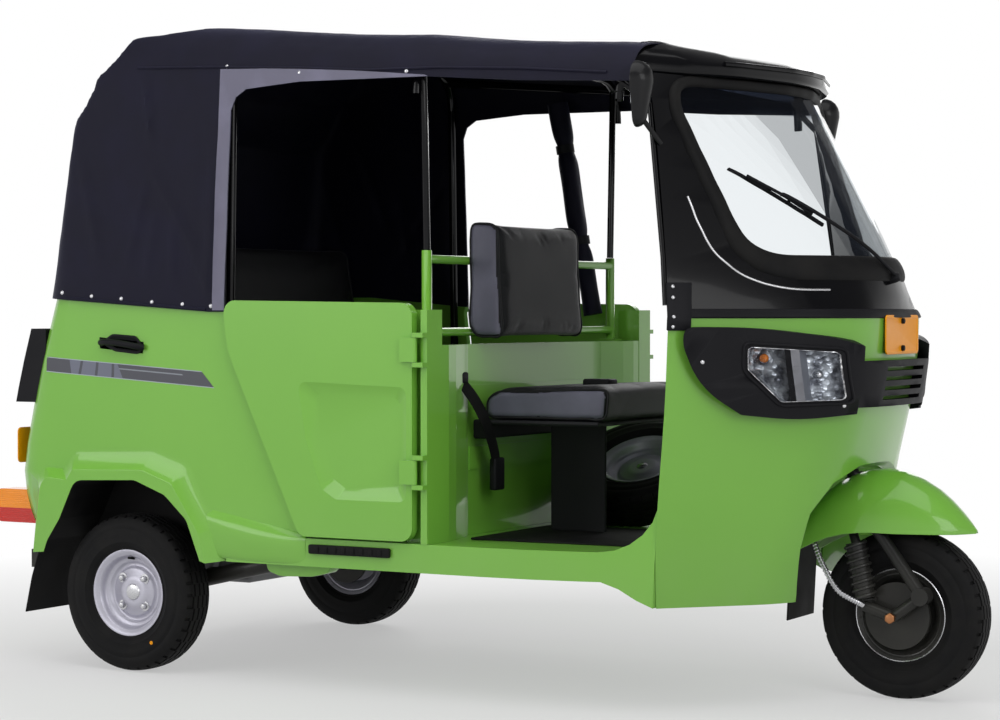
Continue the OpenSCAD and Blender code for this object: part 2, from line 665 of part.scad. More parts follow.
// The side opening, from the lower rear corner round to the front
opening_outline = concat([[skirt_x, 800]], [for (p = [[skirt_x, 1496], [skirt_x + 14, 1530],
    [skirt_x + 46, 1550], [562, 1562], [945, 1558], [1202, 1537], [canopy_x2 + 220, 1512]]) p + [0, roof_up]],
    [[canopy_x2 + 220, 800]]);
module canopy() {
    color(vinyl) from_rear_axle() moulded() difference() {
        canopy_form(0);
        canopy_form(canopy_t);
        across(-far, far) polygon(opening_outline);
        across(-far, far) polygon([[-700, canopy_hem_z + 12], [canopy_x1 + 8, canopy_hem_z],
            [skirt_x - 52, skirt_z], [skirt_x + 400, skirt_z], [skirt_x + 400, 0], [-700, 0]]);
        block([canopy_x2, -far, 0], [canopy_x2 + far, far, far]);
    }
}
surround_w = 36;
surround_x2 = 930;
module side_surrounds() {
    color(pale) from_rear_axle() moulded() difference() {
        canopy_form(-3);
        canopy_form(-seat_gap);
        across(-far, far) difference() {
            translate([-far, 0]) square(2 * far);
            difference() {
                offset(delta = surround_w) polygon(opening_outline);
                offset(delta = -1) polygon(opening_outline);
                translate([surround_x2, 0]) square(far);
                translate([-far, 0]) square([2 * far, skirt_z + 2]);
            }
        }
        block([-far, -400, 0], [far, 400, far]);
    }
}

bow_in = canopy_t + bow_d / 2 + 2;
foot_y = half_w - wall_t - bow_d / 2 - 6;
rear_bow_x = 330;
front_bow_x = visor_x - 20;
bow_y = canopy_side - shoulder_in - bow_in - 4;
rail_in = bow_in + 50;
rail_in_y = canopy_side - 98;
// A hoop across the cabin at x, with its feet at half width foot and height z
function hoop(x, foot, z) = let (crown = roof_at(x) - bow_in - 2,
    right = concat([[-foot, z]], bend([-foot, z], [-bow_y, crown - 24], [0, crown], 110, 5), [[0, crown]]))
    [for (p = concat(right, flip([for (i = [0:len(right) - 2]) [-right[i][0], right[i][1]]])))
        [x, p[0], p[1]]];
module canopy_bows() {
    color(black) from_rear_axle() moulded() {
        tube(hoop(rear_bow_x, foot_y, seat_riser_z + seat_gap), bow_d, 8, [1, 0, 0]);
        tube(hoop(post_x, bow_y, roof_at(post_x) - 165), bow_d, 8, [1, 0, 0]);
        tube(hoop(front_bow_x, bow_y, 1500 + roof_up), bow_d, 8, [1, 0, 0]);
        both_sides() tube([[front_bow_x, bow_y, 1530 + roof_up], [1529 + cowl_x, 534, 1470 + roof_up],
            [1576 + cowl_x, 557, 1100], [1585 + cowl_x, 564, cowl_split_z + 30]], bow_d - 6, 8, [0, 1, 0]);
        both_sides() tube([[post_x, post_y, post_z + 3 * seat_gap],
            [post_x, rail_in_y - 4, roof_at(post_x) - rail_in]], bow_d - 4, 8, [1, 0, 0]);
        both_sides() tube([for (x = [rear_bow_x, post_x, front_bow_x]) [x, rail_in_y, roof_at(x) - rail_in]],
            bow_d, 8, [0, 1, 0]);
    }
}

// Rolled side curtain, which hangs from the left roof rail
curtain_d = 66;
curtain_x = 706;
module curtain_roll() {
    color(vinyl) from_rear_axle() {
        tube([[curtain_x, 546, roof_at(curtain_x) - rail_in - bow_d / 2 - 7.5], [760, 562, 1250],
            [812, 570, 960]], curtain_d, 12, [0, 1, 0]);
    }
}

window_outline = [[-396, 1098], [396, 1098], [486, 1528], [-486, 1528]];
window_round = 60;
module window_shape(g) {
    along(1400 + cowl_x, 2300 + cowl_x) offset(delta = g) soften(window_round) polygon(window_outline);
}
module cowl_lower() {
    color(green) from_rear_axle() moulded() difference() {
        level_wall(lower_levels, 0, cowl_wall, 1, cowl_s, 5, 2);
        front_sweep(0);
    }
}
module cowl_upper() {
    color(black) from_rear_axle() moulded() difference() {
        level_wall(upper_levels, 0, cowl_wall, 1, cowl_s, 5, 2);
        window_shape(0);
    }
}
module windscreen() {
    color(glass) from_rear_axle() moulded() intersection() {
        level_wall(upper_levels, 6, 11, 1, cowl_s, 5, 2);
        window_shape(-seat_gap);
    }
}
module visor() {
    color(black) from_rear_axle() moulded() level_solid(visor_levels, 0, 1, 90, 5, 2);
}

band_d = 28;
// Half width of the band's centre, where the grille is
band_half = 232;
band_outline = [[1636, 891], [1640, 934], [1766, 932], [1926, 906], [1990, 872], [1990, 726], [1953, 722],
    [1841, 708], [1739, 723], [1686, 771], [1657, 819]];
band_x = [1900 + cowl_x, 2200 + cowl_x];
grille_half = 130;
grille_slot = 10;
lens_outline = [[1756, 886], [1924, 872], [1930, 757], [1815, 753], [1756, 831]];
module side_shape(points, g) {
    difference() {
        across(-700, 700) translate([cowl_x, 0]) offset(delta = g) soften(10) polygon(points);
        block([0, -band_half, 0], [far, band_half, far]);
    }
}
module lamp_band() {
    color(black) from_rear_axle() moulded() difference() {
        level_wall(lower_levels, -band_d, -4 * seat_gap, 1, cowl_s, 5, 2);
        difference() {
            block([0, -far, 0], [far, far, far]);
            side_shape(band_outline, 0);
            block([band_x[0], -band_half - 1, 736], [band_x[1], band_half + 1, 850]);
        }
        side_shape(lens_outline, 0);
        for (z = [752:24:830]) block([band_x[0], -grille_half, z], [band_x[1], grille_half, z + grille_slot]);
    }
}
module headlamps() {
    color(glass) from_rear_axle() moulded() intersection() {
        level_wall(lower_levels, -band_d - 4, -4 * seat_gap, 1, cowl_s, 5, 2);
        side_shape(lens_outline, -seat_gap);
    }
}

// A point in front of the upper cowl's nose, for p = [y, z]
function front_point(p, out) = let (col = function (c) lookup(p[1], [for (l = upper_levels) [l[0], l[c]]]))
    [col(5) - (col(5) - col(3)) * pow(p[0] / col(4), 2) + out, p[0], p[1]];
wiper_foot = [-12, 1052];
wiper_tip = [-190, 1226];
blade_ends = [[-110, 1195], [-285, 1262]];
module wiper() {
    color(black) from_rear_axle() {
        moulded() difference() {
            bar(front_point(wiper_foot, -10), front_point(wiper_foot, 24), 24);
            level_solid(upper_levels, -seat_gap, 1, cowl_s, 5, 2);
        }
        bar(front_point(wiper_foot, 20), front_point(wiper_tip, 12), 9);
        bar(front_point(blade_ends[0], 12), front_point(blade_ends[1], 12), 11);
    }
}

mirror_y = 602;
mirror_x = 1524;
module mirrors() {
    color(black) from_rear_axle() translate([cowl_x, 0, 0]) both_sides() {
        moulded() intersection() {
            hull() {
                translate([mirror_x + 2, mirror_y, 1522]) scale([0.9, 0.82, 1]) sphere(46, $fn = 20);
                translate([mirror_x + 2, mirror_y, 1436]) scale([0.9, 0.9, 1]) sphere(27, $fn = 20);
            }
            block([mirror_x, 0, 0], [far, far, far]);
        }
        moulded() difference() {
            bar([mirror_x + 12, mirror_y - 4, 1432], [1562, 545, 1372], 12);
            translate([-cowl_x, 0, 0]) level_solid(upper_levels, -seat_gap, 1, cowl_s, 5, 2);
        }
    }
}

dash_half = 440;
module dashboard() {
    color(black) from_rear_axle() moulded() difference() {
        intersection() {
            across(-dash_half, dash_half) translate([cowl_x, 0]) soften(20) polygon([[1716, 850], [1990, 850],
                [1990, cowl_split_z - 6], [1760, cowl_split_z - 6], [1716, 910]]);
            level_solid(lower_levels, cowl_wall + seat_gap, 1, cowl_s, 5, 2);
        }
        on_steering_axis() cylinder(d = head_d + 24, h = 1200, $fn = 32);
    }
}

// Spare wheel, which leans on the floor under the driver's seat, beside the tube of the steering head
spare_x = part_x + part_t + tyre_r + 8;
spare_lean = 30;
module spare_wheel() {
    rise = max([for (p = tyre_side()) p[0] * sin(spare_lean) + p[1] * cos(spare_lean)]);
    reach = max([for (p = tyre_side()) p[0] * cos(spare_lean) + p[1] * sin(spare_lean)]);
    color(rubber) from_rear_axle() translate([spare_x, spine_d / 2 + 8 + reach, floor_z + seat_gap + rise])
        rotate([spare_lean, 0, 0]) {
            rotate_extrude($fn = 48) tyre_profile();
            rim_ring();
        }
}

pad_x = [615, 858];
pad_z = [352, 376];
module step_pads() {
    color(rubber) from_rear_axle() both_sides()
        block([pad_x[0], sill_out + seat_gap, pad_z[0]], [pad_x[1], sill_out + 12, pad_z[1]]);
}
grip_x = [-76, 80];
grip_z = [864, 886];
module quarter_grips() {
    color(black) from_rear_axle() both_sides() {
        for (x = [grip_x[0], grip_x[1] - 16])
            block([x, half_w + seat_gap, grip_z[0]], [x + 16, half_w + 24, grip_z[1]]);
        block([grip_x[0], half_w + 14, grip_z[0] + 2], [grip_x[1], half_w + 26, grip_z[1] - 2]);
    }
}

// Pressed recess in the lower front of the door
recess_d = 10;
recess_outline = [[586, 792], [611, 645], [658, 520], [702, 494], [door_x2 - 18, 494], [door_x2 - 18, 781]];
module door(y_sign) {
    color(green) from_rear_axle() scale([1, -y_sign, 1]) difference() {
        union() {
            across(-door_y, -door_y + door_t) door_shape();
            for (z = hinge_zs) translate([hinge_x, -hinge_y, z]) {
                cylinder(d = hinge_d, h = hinge_l);
                block([-40, -hinge_d / 2, 0], [0, hinge_y - door_y + 1, hinge_l]);
            }
        }
        across(-door_y - 1, -door_y + recess_d) soften(20) polygon(recess_outline);
        for (z = hinge_zs) translate([hinge_x, -hinge_y, z - 1])
            cylinder(d = pin_d + 2 * run_gap, h = hinge_l + 2);
    }
}
module door_right() { door(-1); }
module door_left() { door(1); }

module steering_column() {
    color(black) from_rear_axle() {
        on_steering_axis() {
            translate([0, 0, head_a1 - 50]) cylinder(d = stem_d, h = bar_a - head_a1 + 50);
            translate([0, 0, head_a2 + 3]) cylinder(d = head_d, h = 12);
        }
        both_sides() {
            bar(axis_point(0, -2, bar_a), axis_point(-20, 130, bar_a + 20), bar_d);
            bar(axis_point(-20, 128, bar_a + 20), axis_point(-60, bar_l / 2, bar_a + 20), bar_d);
            bar(axis_point(-45, bar_l / 2 - grip_l, bar_a + 20), axis_point(-60, bar_l / 2, bar_a + 20),
                bar_d + 10);
        }
    }
}

fork_y = 92;
crown_d = 90;
pivot = [wheelbase + 74, 268];
spring_foot = [wheelbase - 74, 236];
module front_fork() {
    color(black) from_rear_axle() {
        on_steering_axis() {
            translate([0, 0, 352]) cylinder(d = stem_d + 14, h = head_a1 - 50 - 352);
            translate([0, 0, 338]) cylinder(d = crown_d, h = 16);
        }
        both_sides() {
            bar(axis_point(0, 20, 346), axis_point(14, 54, 334), 34);
            bar(axis_point(14, 54, 336), axis_point(26, 82, 240), 32);
            translate(axis_point(26, 82, 240)) sphere(d = 34);
            bar(axis_point(26, 82, 240), [pivot[0], fork_y, pivot[1]], 32);
            bar([pivot[0], fork_y - 20, pivot[1]], [pivot[0], fork_y + 20, pivot[1]], 44);
            bar([pivot[0], fork_y, pivot[1]], [wheelbase, fork_y, tyre_r], 30);
            bar([wheelbase, fork_y, tyre_r], [spring_foot[0], fork_y, spring_foot[1]], 28);
            bar([spring_foot[0], fork_y, spring_foot[1] + 20], axis_point(-34, 88, 215), 50);
            bar(axis_point(-34, 88, 205), axis_point(-30, 64, 300), 24);
            bar(axis_point(-30, 64, 296), axis_point(0, 20, 344), 26);
        }
        translate([wheelbase, 0, tyre_r]) rotate([90, 0, 0])
            cylinder(d = front_axle_d, h = 2 * axle_half, center = true);
        translate([wheelbase, -64, tyre_r]) rotate([-90, 0, 0]) cylinder(r = 84, h = 12);
    }
}

// Front fender: columns are x from the front axle, top z, edge z, half width
fender_rows = [[184, 429, 421, 8], [145, 474, 420, 55], [85, 528, 420, 86], [0, 570, 420, 106],
    [-85, 573, 420, 113], [-165, 544, 405, 114], [-235, 480, 375, 110], [-274, 400, 352, 104]];
fender_t = 4;
function fender_arc(r, d) = [for (a = [0:15:180])
    [wheelbase + r[0], (r[3] - d) * cos(a), r[2] + (r[1] - r[2] - d) * sin(a)]];
module front_fender() {
    color(green) from_rear_axle() moulded() difference() {
        skin([for (r = flip(smooth(fender_rows, 2)))
            concat(fender_arc(r, 0), flip(fender_arc(r, fender_t)))], true);
        on_steering_axis() cylinder(d = stem_d + 14 + 2 * seat_gap, h = 600, $fn = 64);
    }
}
flap_x = wheelbase + fender_rows[len(fender_rows) - 1][0] - seat_gap;
module front_mudflap() {
    color(rubber) from_rear_axle() across(-88, 88) translate([flap_x, 0])
        polygon([[-flap_t, 396], [0, 396], [0, 340], [-8, 186], [-8 - flap_t, 186], [-flap_t, 340]]);
}

// Brake cable, from inside the fender down to the fork's arm
cable_d = 12;
cable_route = [[1752, -70, 432], [1764, -84, 412], [1781, -102, 386], [1797, -116, 358], [1816, -124, 328],
    [1838, -128, 294], [1860, -128, 270], [1884, -122, 256], [1903, -114, 246], [1911, -106.5, 240]];
module brake_cable() {
    color(rubber) from_rear_axle() translate([cowl_x, 0, 0]) tube(cable_route, cable_d, 8, [0, 0, 1]);
}

function below(points) = [for (p = points) [p[0], -p[1]]];
// A tyre's section, as [radius, width]
shoulder_r = tyre_r - 22;
bead_r = bead_d / 2;
// Place of the rim's flanges, as a share of the tyre's half width
flange_at = 0.66;
function tyre_side() = let (half = tyre_w / 2, bead = half * flange_at - 2 * seat_gap)
    [[bead_r + 2 * seat_gap, bead], [bead_r + 16, bead], [bead_r + 30, half * 0.9], [bead_r + 55, half],
        [shoulder_r - 6, half * 0.93], [shoulder_r + 10, half * 0.78], [tyre_r - 3, half * 0.45]];
module tyre_profile() {
    half = tyre_w / 2;
    outer = tyre_side();
    inner = [[bead_r + 2 * seat_gap, half * 0.4], [bead_r + 40, half * 0.72], [shoulder_r - 10, half * 0.7]];
    polygon(concat(below(outer), [[tyre_r, 0]], flip(outer), inner, [[tyre_r - 20, 0]], flip(below(inner))));
}
module tyre() { rotate([90, 0, 0]) rotate_extrude($fn = 64) tyre_profile(); }
// The rim's well and flanges, about z
module rim_ring() {
    half = tyre_w / 2;
    flange = half * flange_at;
    back = [[bead_r - 22, half * 0.2], [bead_r - 6, half * 0.6], [bead_r + 15, flange + 6]];
    front = [[bead_r + 15, flange + 3], [bead_r, flange], [bead_r, half * 0.4], [bead_r - 16, half * 0.2]];
    rotate_extrude($fn = 64) polygon(concat(below(flip(back)), back, front, below(flip(front))));
}
// A pressed rim with its hub: the face is towards +y, and dish is how far its disc stands in
module rim(bore_d, hub_half, dish) {
    rotate([-90, 0, 0]) difference() {
        union() {
            rim_ring();
            rotate_extrude($fn = 64) polygon([[0, dish - 3], [bead_r - 18, dish - 3], [bead_r - 18, dish + 3],
                [62, dish + 3], [50, dish + 14], [0, dish + 14]]);
            translate([0, 0, -hub_half]) cylinder(d = bore_d + 34, h = 2 * hub_half);
            for (a = [45:90:315]) rotate(a) translate([72, 0, dish + 2]) cylinder(d = 18, h = 12, $fn = 6);
        }
        translate([0, 0, -200]) cylinder(d = bore_d, h = 400);
    }
}
module rear_wheel(y_sign) {
    from_rear_axle() translate([0, y_sign * rear_y, tyre_r]) scale([1, y_sign, 1]) children();
}
module front_wheel() { from_rear_axle() translate([wheelbase, 0, tyre_r]) children(); }
module front_rim() { color(black) front_wheel() rim(front_axle_d + 2 * run_gap, 46, 12); }
module front_tyre() { color(rubber) front_wheel() tyre(); }
module rear_rim_right() { color(silver) rear_wheel(-1) rim(rear_axle_d + 2 * run_gap, 26, 10); }
module rear_tyre_right() { color(rubber) rear_wheel(-1) tyre(); }
module rear_rim_left() { color(silver) rear_wheel(1) rim(rear_axle_d + 2 * run_gap, 26, 10); }
module rear_tyre_left() { color(rubber) rear_wheel(1) tyre(); }

chassis_frame();
floor_pan();
partition();
quarter_right();
quarter_left();
tail_panel();
tail_lid();
tail_vents();
rear_bumper();
tail_lamps();
number_plates();
rear_mudflaps();
rear_suspension();
engine_block();
passenger_seat();
driver_seat();
seat_stand();
seat_frame();
canopy_bows();
canopy();
side_surrounds();
curtain_roll();
cowl_lower();
cowl_upper();
windscreen();
visor();
lamp_band();
headlamps();
wiper();
mirrors();
dashboard();
spare_wheel();
step_pads();
quarter_grips();
door_right();
door_left();
steering_column();
front_fork();
front_fender();
front_mudflap();
brake_cable();
front_rim();
front_tyre();
rear_rim_right();
rear_tyre_right();
rear_rim_left();
rear_tyre_left();
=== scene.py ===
import json
import math
import bpy
from mathutils import Matrix, Vector, noise
from mathutils.bvhtree import BVHTree


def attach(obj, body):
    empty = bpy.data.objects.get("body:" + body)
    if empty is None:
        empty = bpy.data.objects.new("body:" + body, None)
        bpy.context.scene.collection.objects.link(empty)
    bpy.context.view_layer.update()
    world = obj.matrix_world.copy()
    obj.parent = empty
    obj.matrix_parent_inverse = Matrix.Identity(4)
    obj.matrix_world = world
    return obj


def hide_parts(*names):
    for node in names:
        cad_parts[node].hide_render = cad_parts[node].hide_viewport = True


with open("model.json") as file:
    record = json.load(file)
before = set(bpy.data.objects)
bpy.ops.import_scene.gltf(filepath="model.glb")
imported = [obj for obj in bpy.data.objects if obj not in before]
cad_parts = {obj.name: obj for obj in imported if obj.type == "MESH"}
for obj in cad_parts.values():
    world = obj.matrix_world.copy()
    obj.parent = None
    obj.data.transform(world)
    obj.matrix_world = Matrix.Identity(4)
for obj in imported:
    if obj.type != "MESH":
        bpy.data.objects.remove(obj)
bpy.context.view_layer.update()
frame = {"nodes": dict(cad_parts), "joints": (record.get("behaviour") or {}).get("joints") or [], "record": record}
nodes = frame["nodes"]
bodyOf = {n: b for b, members in frame["record"]["behaviour"]["bodies"].items() for n in members}
slotOf = {s["node"]: s["material_slot"] for s in frame["record"]["subparts"]}
joints = {j["name"]: j for j in frame["joints"]}
rearAxle = Vector(joints["rear_wheel_right_spin"]["pos_m"])
frontAxle = Vector(joints["front_wheel_spin"]["pos_m"])


def at(x, y, z):  # millimetres from the rear axle, as the part's source counts them
    return Vector((x / 1000 + rearAxle.x, y / 1000, z / 1000))


# camera and light
view = {"place": (3.1983, -5.8240, 0.9667), "target": (-0.0578, 0.0, 0.8380), "lens": 87.6, "sensor": 36}
lamps = [
    {"name": "skyPanel", "place": (0.4, -1.6, 4.6), "target": (0.2, 0, 0.6), "size": (5.5, 4.0), "watts": 118},
    {"name": "frontPanel", "place": (4.6, -3.0, 2.6), "target": (0.6, 0, 0.8), "size": (2.6, 2.4), "watts": 62},
    {"name": "sidePanel", "place": (-2.8, -4.6, 2.2), "target": (-0.2, 0, 0.7), "size": (3.0, 2.4), "watts": 62},
    {"name": "farPanel", "place": (-1.4, 4.4, 2.8), "target": (0, 0, 0.8), "size": (3.4, 2.4), "watts": 60},
]


def aim(obj, place, target):
    obj.location = place
    obj.rotation_euler = (Vector(target) - Vector(place)).to_track_quat("-Z", "Y").to_euler()


def makeCamera():
    data = bpy.data.cameras.new("photoCamera")
    data.lens = view["lens"]
    data.sensor_width = view["sensor"]
    data.clip_end = 200
    camera = bpy.data.objects.new("photoCamera", data)
    bpy.context.scene.collection.objects.link(camera)
    aim(camera, view["place"], view["target"])
    bpy.context.scene.camera = camera


def makeLamps():
    for lamp in lamps:
        data = bpy.data.lights.new(lamp["name"], "AREA")
        data.shape = "RECTANGLE"
        data.size, data.size_y = lamp["size"]
        data.energy = lamp["watts"]
        obj = bpy.data.objects.new(lamp["name"], data)
        bpy.context.scene.collection.objects.link(obj)
        aim(obj, lamp["place"], lamp["target"])


# shader maths
class Wire:
    def __init__(self, tree, socket):
        self.tree, self.socket = tree, socket

    def math(self, operation, a, b):
        return addNode(self.tree, "ShaderNodeMath", {"operation": operation}, {0: a, 1: b})

    def __add__(self, other): return self.math("ADD", self, other)
    def __radd__(self, other): return self.math("ADD", other, self)
    def __sub__(self, other): return self.math("SUBTRACT", self, other)
    def __rsub__(self, other): return self.math("SUBTRACT", other, self)
    def __mul__(self, other): return self.math("MULTIPLY", self, other)
    def __rmul__(self, other): return self.math("MULTIPLY", other, self)
    def __pow__(self, other): return self.math("POWER", self, other)
    def __gt__(self, other): return self.math("GREATER_THAN", self, other)
    def __lt__(self, other): return self.math("LESS_THAN", self, other)


def addNode(tree, kind, settings, sockets, out=0):
    node = tree.nodes.new(kind)
    for key, value in settings.items():
        if key == "stops":
            ramp = node.color_ramp
            while len(ramp.elements) < len(value):
                ramp.elements.new(1)
            for element, (place, colour) in zip(ramp.elements, value):
                element.position, element.color = place, colour
        else:
            setattr(node, key, value)
    for key, value in sockets.items():
        if isinstance(value, Wire):
            tree.links.new(value.socket, node.inputs[key])
        else:
            node.inputs[key].default_value = value
    return Wire(tree, node.outputs[out])


def rgb(colour):
    return (*colour, 1.0)


class Finish:  # one material: its tree, its Principled shader and the patterns that feed it
    def __init__(self, name, **sockets):
        self.material = bpy.data.materials.new(name)
        self.material.use_nodes = True
        self.tree = self.material.node_tree
        self.shader = self.tree.nodes["Principled BSDF"]
        for key, value in sockets.items():
            self.set(key, value)

    def set(self, key, value):
        socket = self.shader.inputs[key]
        if isinstance(value, Wire):
            self.tree.links.new(value.socket, socket)
        else:
            socket.default_value = value

    def add(self, kind, settings=None, sockets=None, out=0):
        return addNode(self.tree, kind, settings or {}, sockets or {}, out)

    def place(self, stretch=(1, 1, 1), turn=(0, 0, 0), shift=(0, 0, 0)):
        coords = self.add("ShaderNodeTexCoord", out="Object")
        return self.add("ShaderNodeMapping", {}, {"Vector": coords, "Scale": stretch, "Rotation": turn, "Location": shift})

    def axis(self, name):
        return self.add("ShaderNodeSeparateXYZ", {}, {"Vector": self.add("ShaderNodeTexCoord", out="Object")}, name)

    def noise(self, scale, detail=3, **place):
        return self.add("ShaderNodeTexNoise", {}, {"Vector": self.place(**place), "Scale": scale, "Detail": detail})

    def cells(self, scale, **place):
        return self.add("ShaderNodeTexVoronoi", {}, {"Vector": self.place(**place), "Scale": scale})

    def ramp(self, value, *stops):
        return self.add("ShaderNodeValToRGB", {"stops": [(p, (v, v, v, 1)) for p, v in stops]}, {"Fac": value})

    def mix(self, factor, a, b):
        a = a if isinstance(a, Wire) else rgb(a)
        b = b if isinstance(b, Wire) else rgb(b)
        return self.add("ShaderNodeMix", {"data_type": "RGBA"}, {0: factor, 6: a, 7: b}, 2)

    def bump(self, height, strength, distance=0.001):
        self.set("Normal", self.add("ShaderNodeBump", {}, {"Height": height, "Strength": strength, "Distance": distance}))


def paintFinish(name, colour, shade, roughness, coat=1.0, specular=0.5, peel=0.02):
    f = Finish(name, **{"Coat Weight": coat, "Coat Roughness": 0.04, "Specular IOR Level": specular})
    cloud = f.noise(2.2)
    dust = f.ramp(f.axis("Z"), (0.25, 0.16), (0.5, 0.0)) * f.noise(9, 5)
    f.set("Base Color", f.mix(dust, f.mix(cloud, shade, colour), (0.30, 0.29, 0.24)))
    f.set("Roughness", roughness + 0.08 * cloud + 0.5 * dust)
    f.bump(f.noise(320, 2), peel, 0.0006)
    return f.material


def plasticFinish(name, colour, roughness, grain, strength=0.18):
    f = Finish(name, **{"Specular IOR Level": 0.1})
    spots = f.cells(grain)
    f.set("Base Color", f.mix(f.noise(5, 4), colour, tuple(c * 1.6 + 0.004 for c in colour)))
    f.set("Roughness", roughness + 0.12 * f.noise(30, 4))
    f.bump(spots + 0.5 * f.noise(grain * 2), strength, 0.0006)
    return f.material


def vinylFinish(name, colour, sheenColour, roughness, grain, creases, sheen=0.06, specular=0.25):
    f = Finish(name, **{"Sheen Weight": sheen, "Sheen Roughness": 0.4, "Sheen Tint": rgb(sheenColour)})
    f.set("Specular IOR Level", specular)
    weave = f.add("ShaderNodeTexWave", {"wave_type": "BANDS", "bands_direction": "DIAGONAL"},
                  {"Vector": f.place(), "Scale": grain, "Distortion": 1.5})
    soft = f.noise(7, 6, turn=(0.3, 0.5, 0.2))
    rub = f.ramp(soft, (0.45, 0.0), (0.75, 1.0))
    f.set("Base Color", f.mix(rub * 0.5, colour, tuple(c * 1.9 for c in colour)))
    f.set("Roughness", roughness + 0.16 * soft)
    f.bump(0.25 * weave + f.cells(grain * 0.9) * 0.35 + f.noise(26, 5, stretch=(1, 1, 0.35)) * creases, 0.35, 0.0014)
    return f.material


def rubberFinish(name, colour, roughness):
    f = Finish(name, **{"Specular IOR Level": 0.12})
    dust = f.ramp(f.noise(14, 6), (0.4, 0.0), (0.8, 1.0))
    f.set("Base Color", f.mix(dust * 0.3, colour, (0.035, 0.033, 0.03)))
    f.set("Roughness", roughness + 0.15 * dust)
    f.bump(f.noise(420, 3) + 0.5 * f.noise(60, 4), 0.2, 0.0008)
    return f.material


def metalFinish(name, colour, roughness, metallic=1.0, scratch=90):
    f = Finish(name, Metallic=metallic)
    lines = f.noise(scratch, 4, stretch=(1, 1, 6))
    f.set("Base Color", f.mix(lines, tuple(c * 0.82 for c in colour), colour))
    f.set("Roughness", roughness + 0.16 * lines)
    f.bump(f.noise(260, 3), 0.05, 0.0005)
    return f.material


def sheetFinish(name, tint, clear, roughness):  # glass or clear lens: mostly see-through, with a glossy face
    f = Finish(name, **{"Base Color": rgb(tint), "Roughness": roughness, "Specular IOR Level": 0.6})
    see = f.add("ShaderNodeBsdfTransparent", {}, {"Color": rgb(clear)})
    edge = f.add("ShaderNodeLayerWeight", {}, {"Blend": 0.18}, "Fresnel")
    both = f.add("ShaderNodeMixShader", {}, {0: 0.05 + 0.6 * edge, 1: see,
                                             2: Wire(f.tree, f.shader.outputs[0])})
    f.tree.links.new(both.socket, f.tree.nodes["Material Output"].inputs["Surface"])
    return f.material


def screenFinish():  # windscreen: clear below, with a grey shade band along the top
    f = Finish("screenGlass", **{"Base Color": rgb((0.02, 0.024, 0.035)), "Roughness": 0.03, "Specular IOR Level": 0.5})
    band = f.ramp((f.axis("Z") - 1.462) * 40 + 0.2 * f.noise(3), (0.0, 0.0), (1.0, 1.0))
    clear = f.add("ShaderNodeBsdfTransparent", {}, {"Color": f.mix(band, (0.95, 0.97, 0.98), (0.22, 0.25, 0.32))})
    edge = f.add("ShaderNodeLayerWeight", {}, {"Blend": 0.2}, "Fresnel")
    both = f.add("ShaderNodeMixShader", {}, {0: 0.025 + 0.45 * edge + 0.1 * band, 1: clear,
                                             2: Wire(f.tree, f.shader.outputs[0])})
    f.tree.links.new(both.socket, f.tree.nodes["Material Output"].inputs["Surface"])
    return f.material


def reflectorFinish():
    f = Finish("lampReflector", Metallic=0.45)
    flutes = f.cells(48, stretch=(1, 1, 1.6))
    f.set("Base Color", f.mix(f.ramp(f.noise(34, 2), (0.36, 0.0), (0.60, 1.0)), (0.22, 0.22, 0.25), (0.95, 0.95, 0.97)))
    f.set("Roughness", 0.06 + 0.1 * f.noise(40))
    f.bump(flutes, 1.0, 0.008)
    return f.material


def lampFinish(name, upper, lower, splitZ):
    f = Finish(name, **{"Roughness": 0.12, "Coat Weight": 0.35, "Specular IOR Level": 0.3})
    f.set("Emission Strength", 0.04)
    half = f.axis("Z") > splitZ
    f.set("Base Color", f.mix(half, lower, upper))
    f.set("Emission Color", f.mix(half, lower, upper))
    f.bump(f.add("ShaderNodeTexWave", {"bands_direction": "Z"}, {"Vector": f.place(), "Scale": 60}), 0.4, 0.002)
    return f.material


def decalFinish():  # stripe on the rear quarters: dark field with slanted paler bars and a thin light edge
    f = Finish("stripeFilm", **{"Coat Weight": 0.6, "Specular IOR Level": 0.5})
    uv = f.add("ShaderNodeUVMap", {"uv_map": "stripe"})
    u = f.add("ShaderNodeSeparateXYZ", {}, {"Vector": uv}, "X")
    v = f.add("ShaderNodeSeparateXYZ", {}, {"Vector": uv}, "Y")
    slant = u * 10 - 0.35 * v
    bars = (slant.math("FRACT", slant, 0) > 0.16) * (u < 0.47) * (u > 0.16)
    line = (v > 0.62) * (v < 0.70) * (u > 0.47) * (u < 0.86)
    edge = (v < 0.05) + (v > 0.95)
    field = f.mix(bars, (0.018, 0.02, 0.035), (0.10, 0.11, 0.16))
    f.set("Base Color", f.mix(edge + line * 0.5, field, (0.36, 0.40, 0.45)))
    f.set("Roughness", 0.3 + 0.1 * f.noise(60))
    return f.material


def plateFinish():
    f = Finish("plateFilm", **{"Coat Weight": 0.08, "Specular IOR Level": 0.2})
    f.set("Base Color", f.mix(f.noise(30), (0.88, 0.31, 0.0), (0.92, 0.35, 0.002)))
    f.set("Roughness", 0.34 + 0.1 * f.noise(50))
    f.bump(f.cells(900), 0.08, 0.0004)
    return f.material


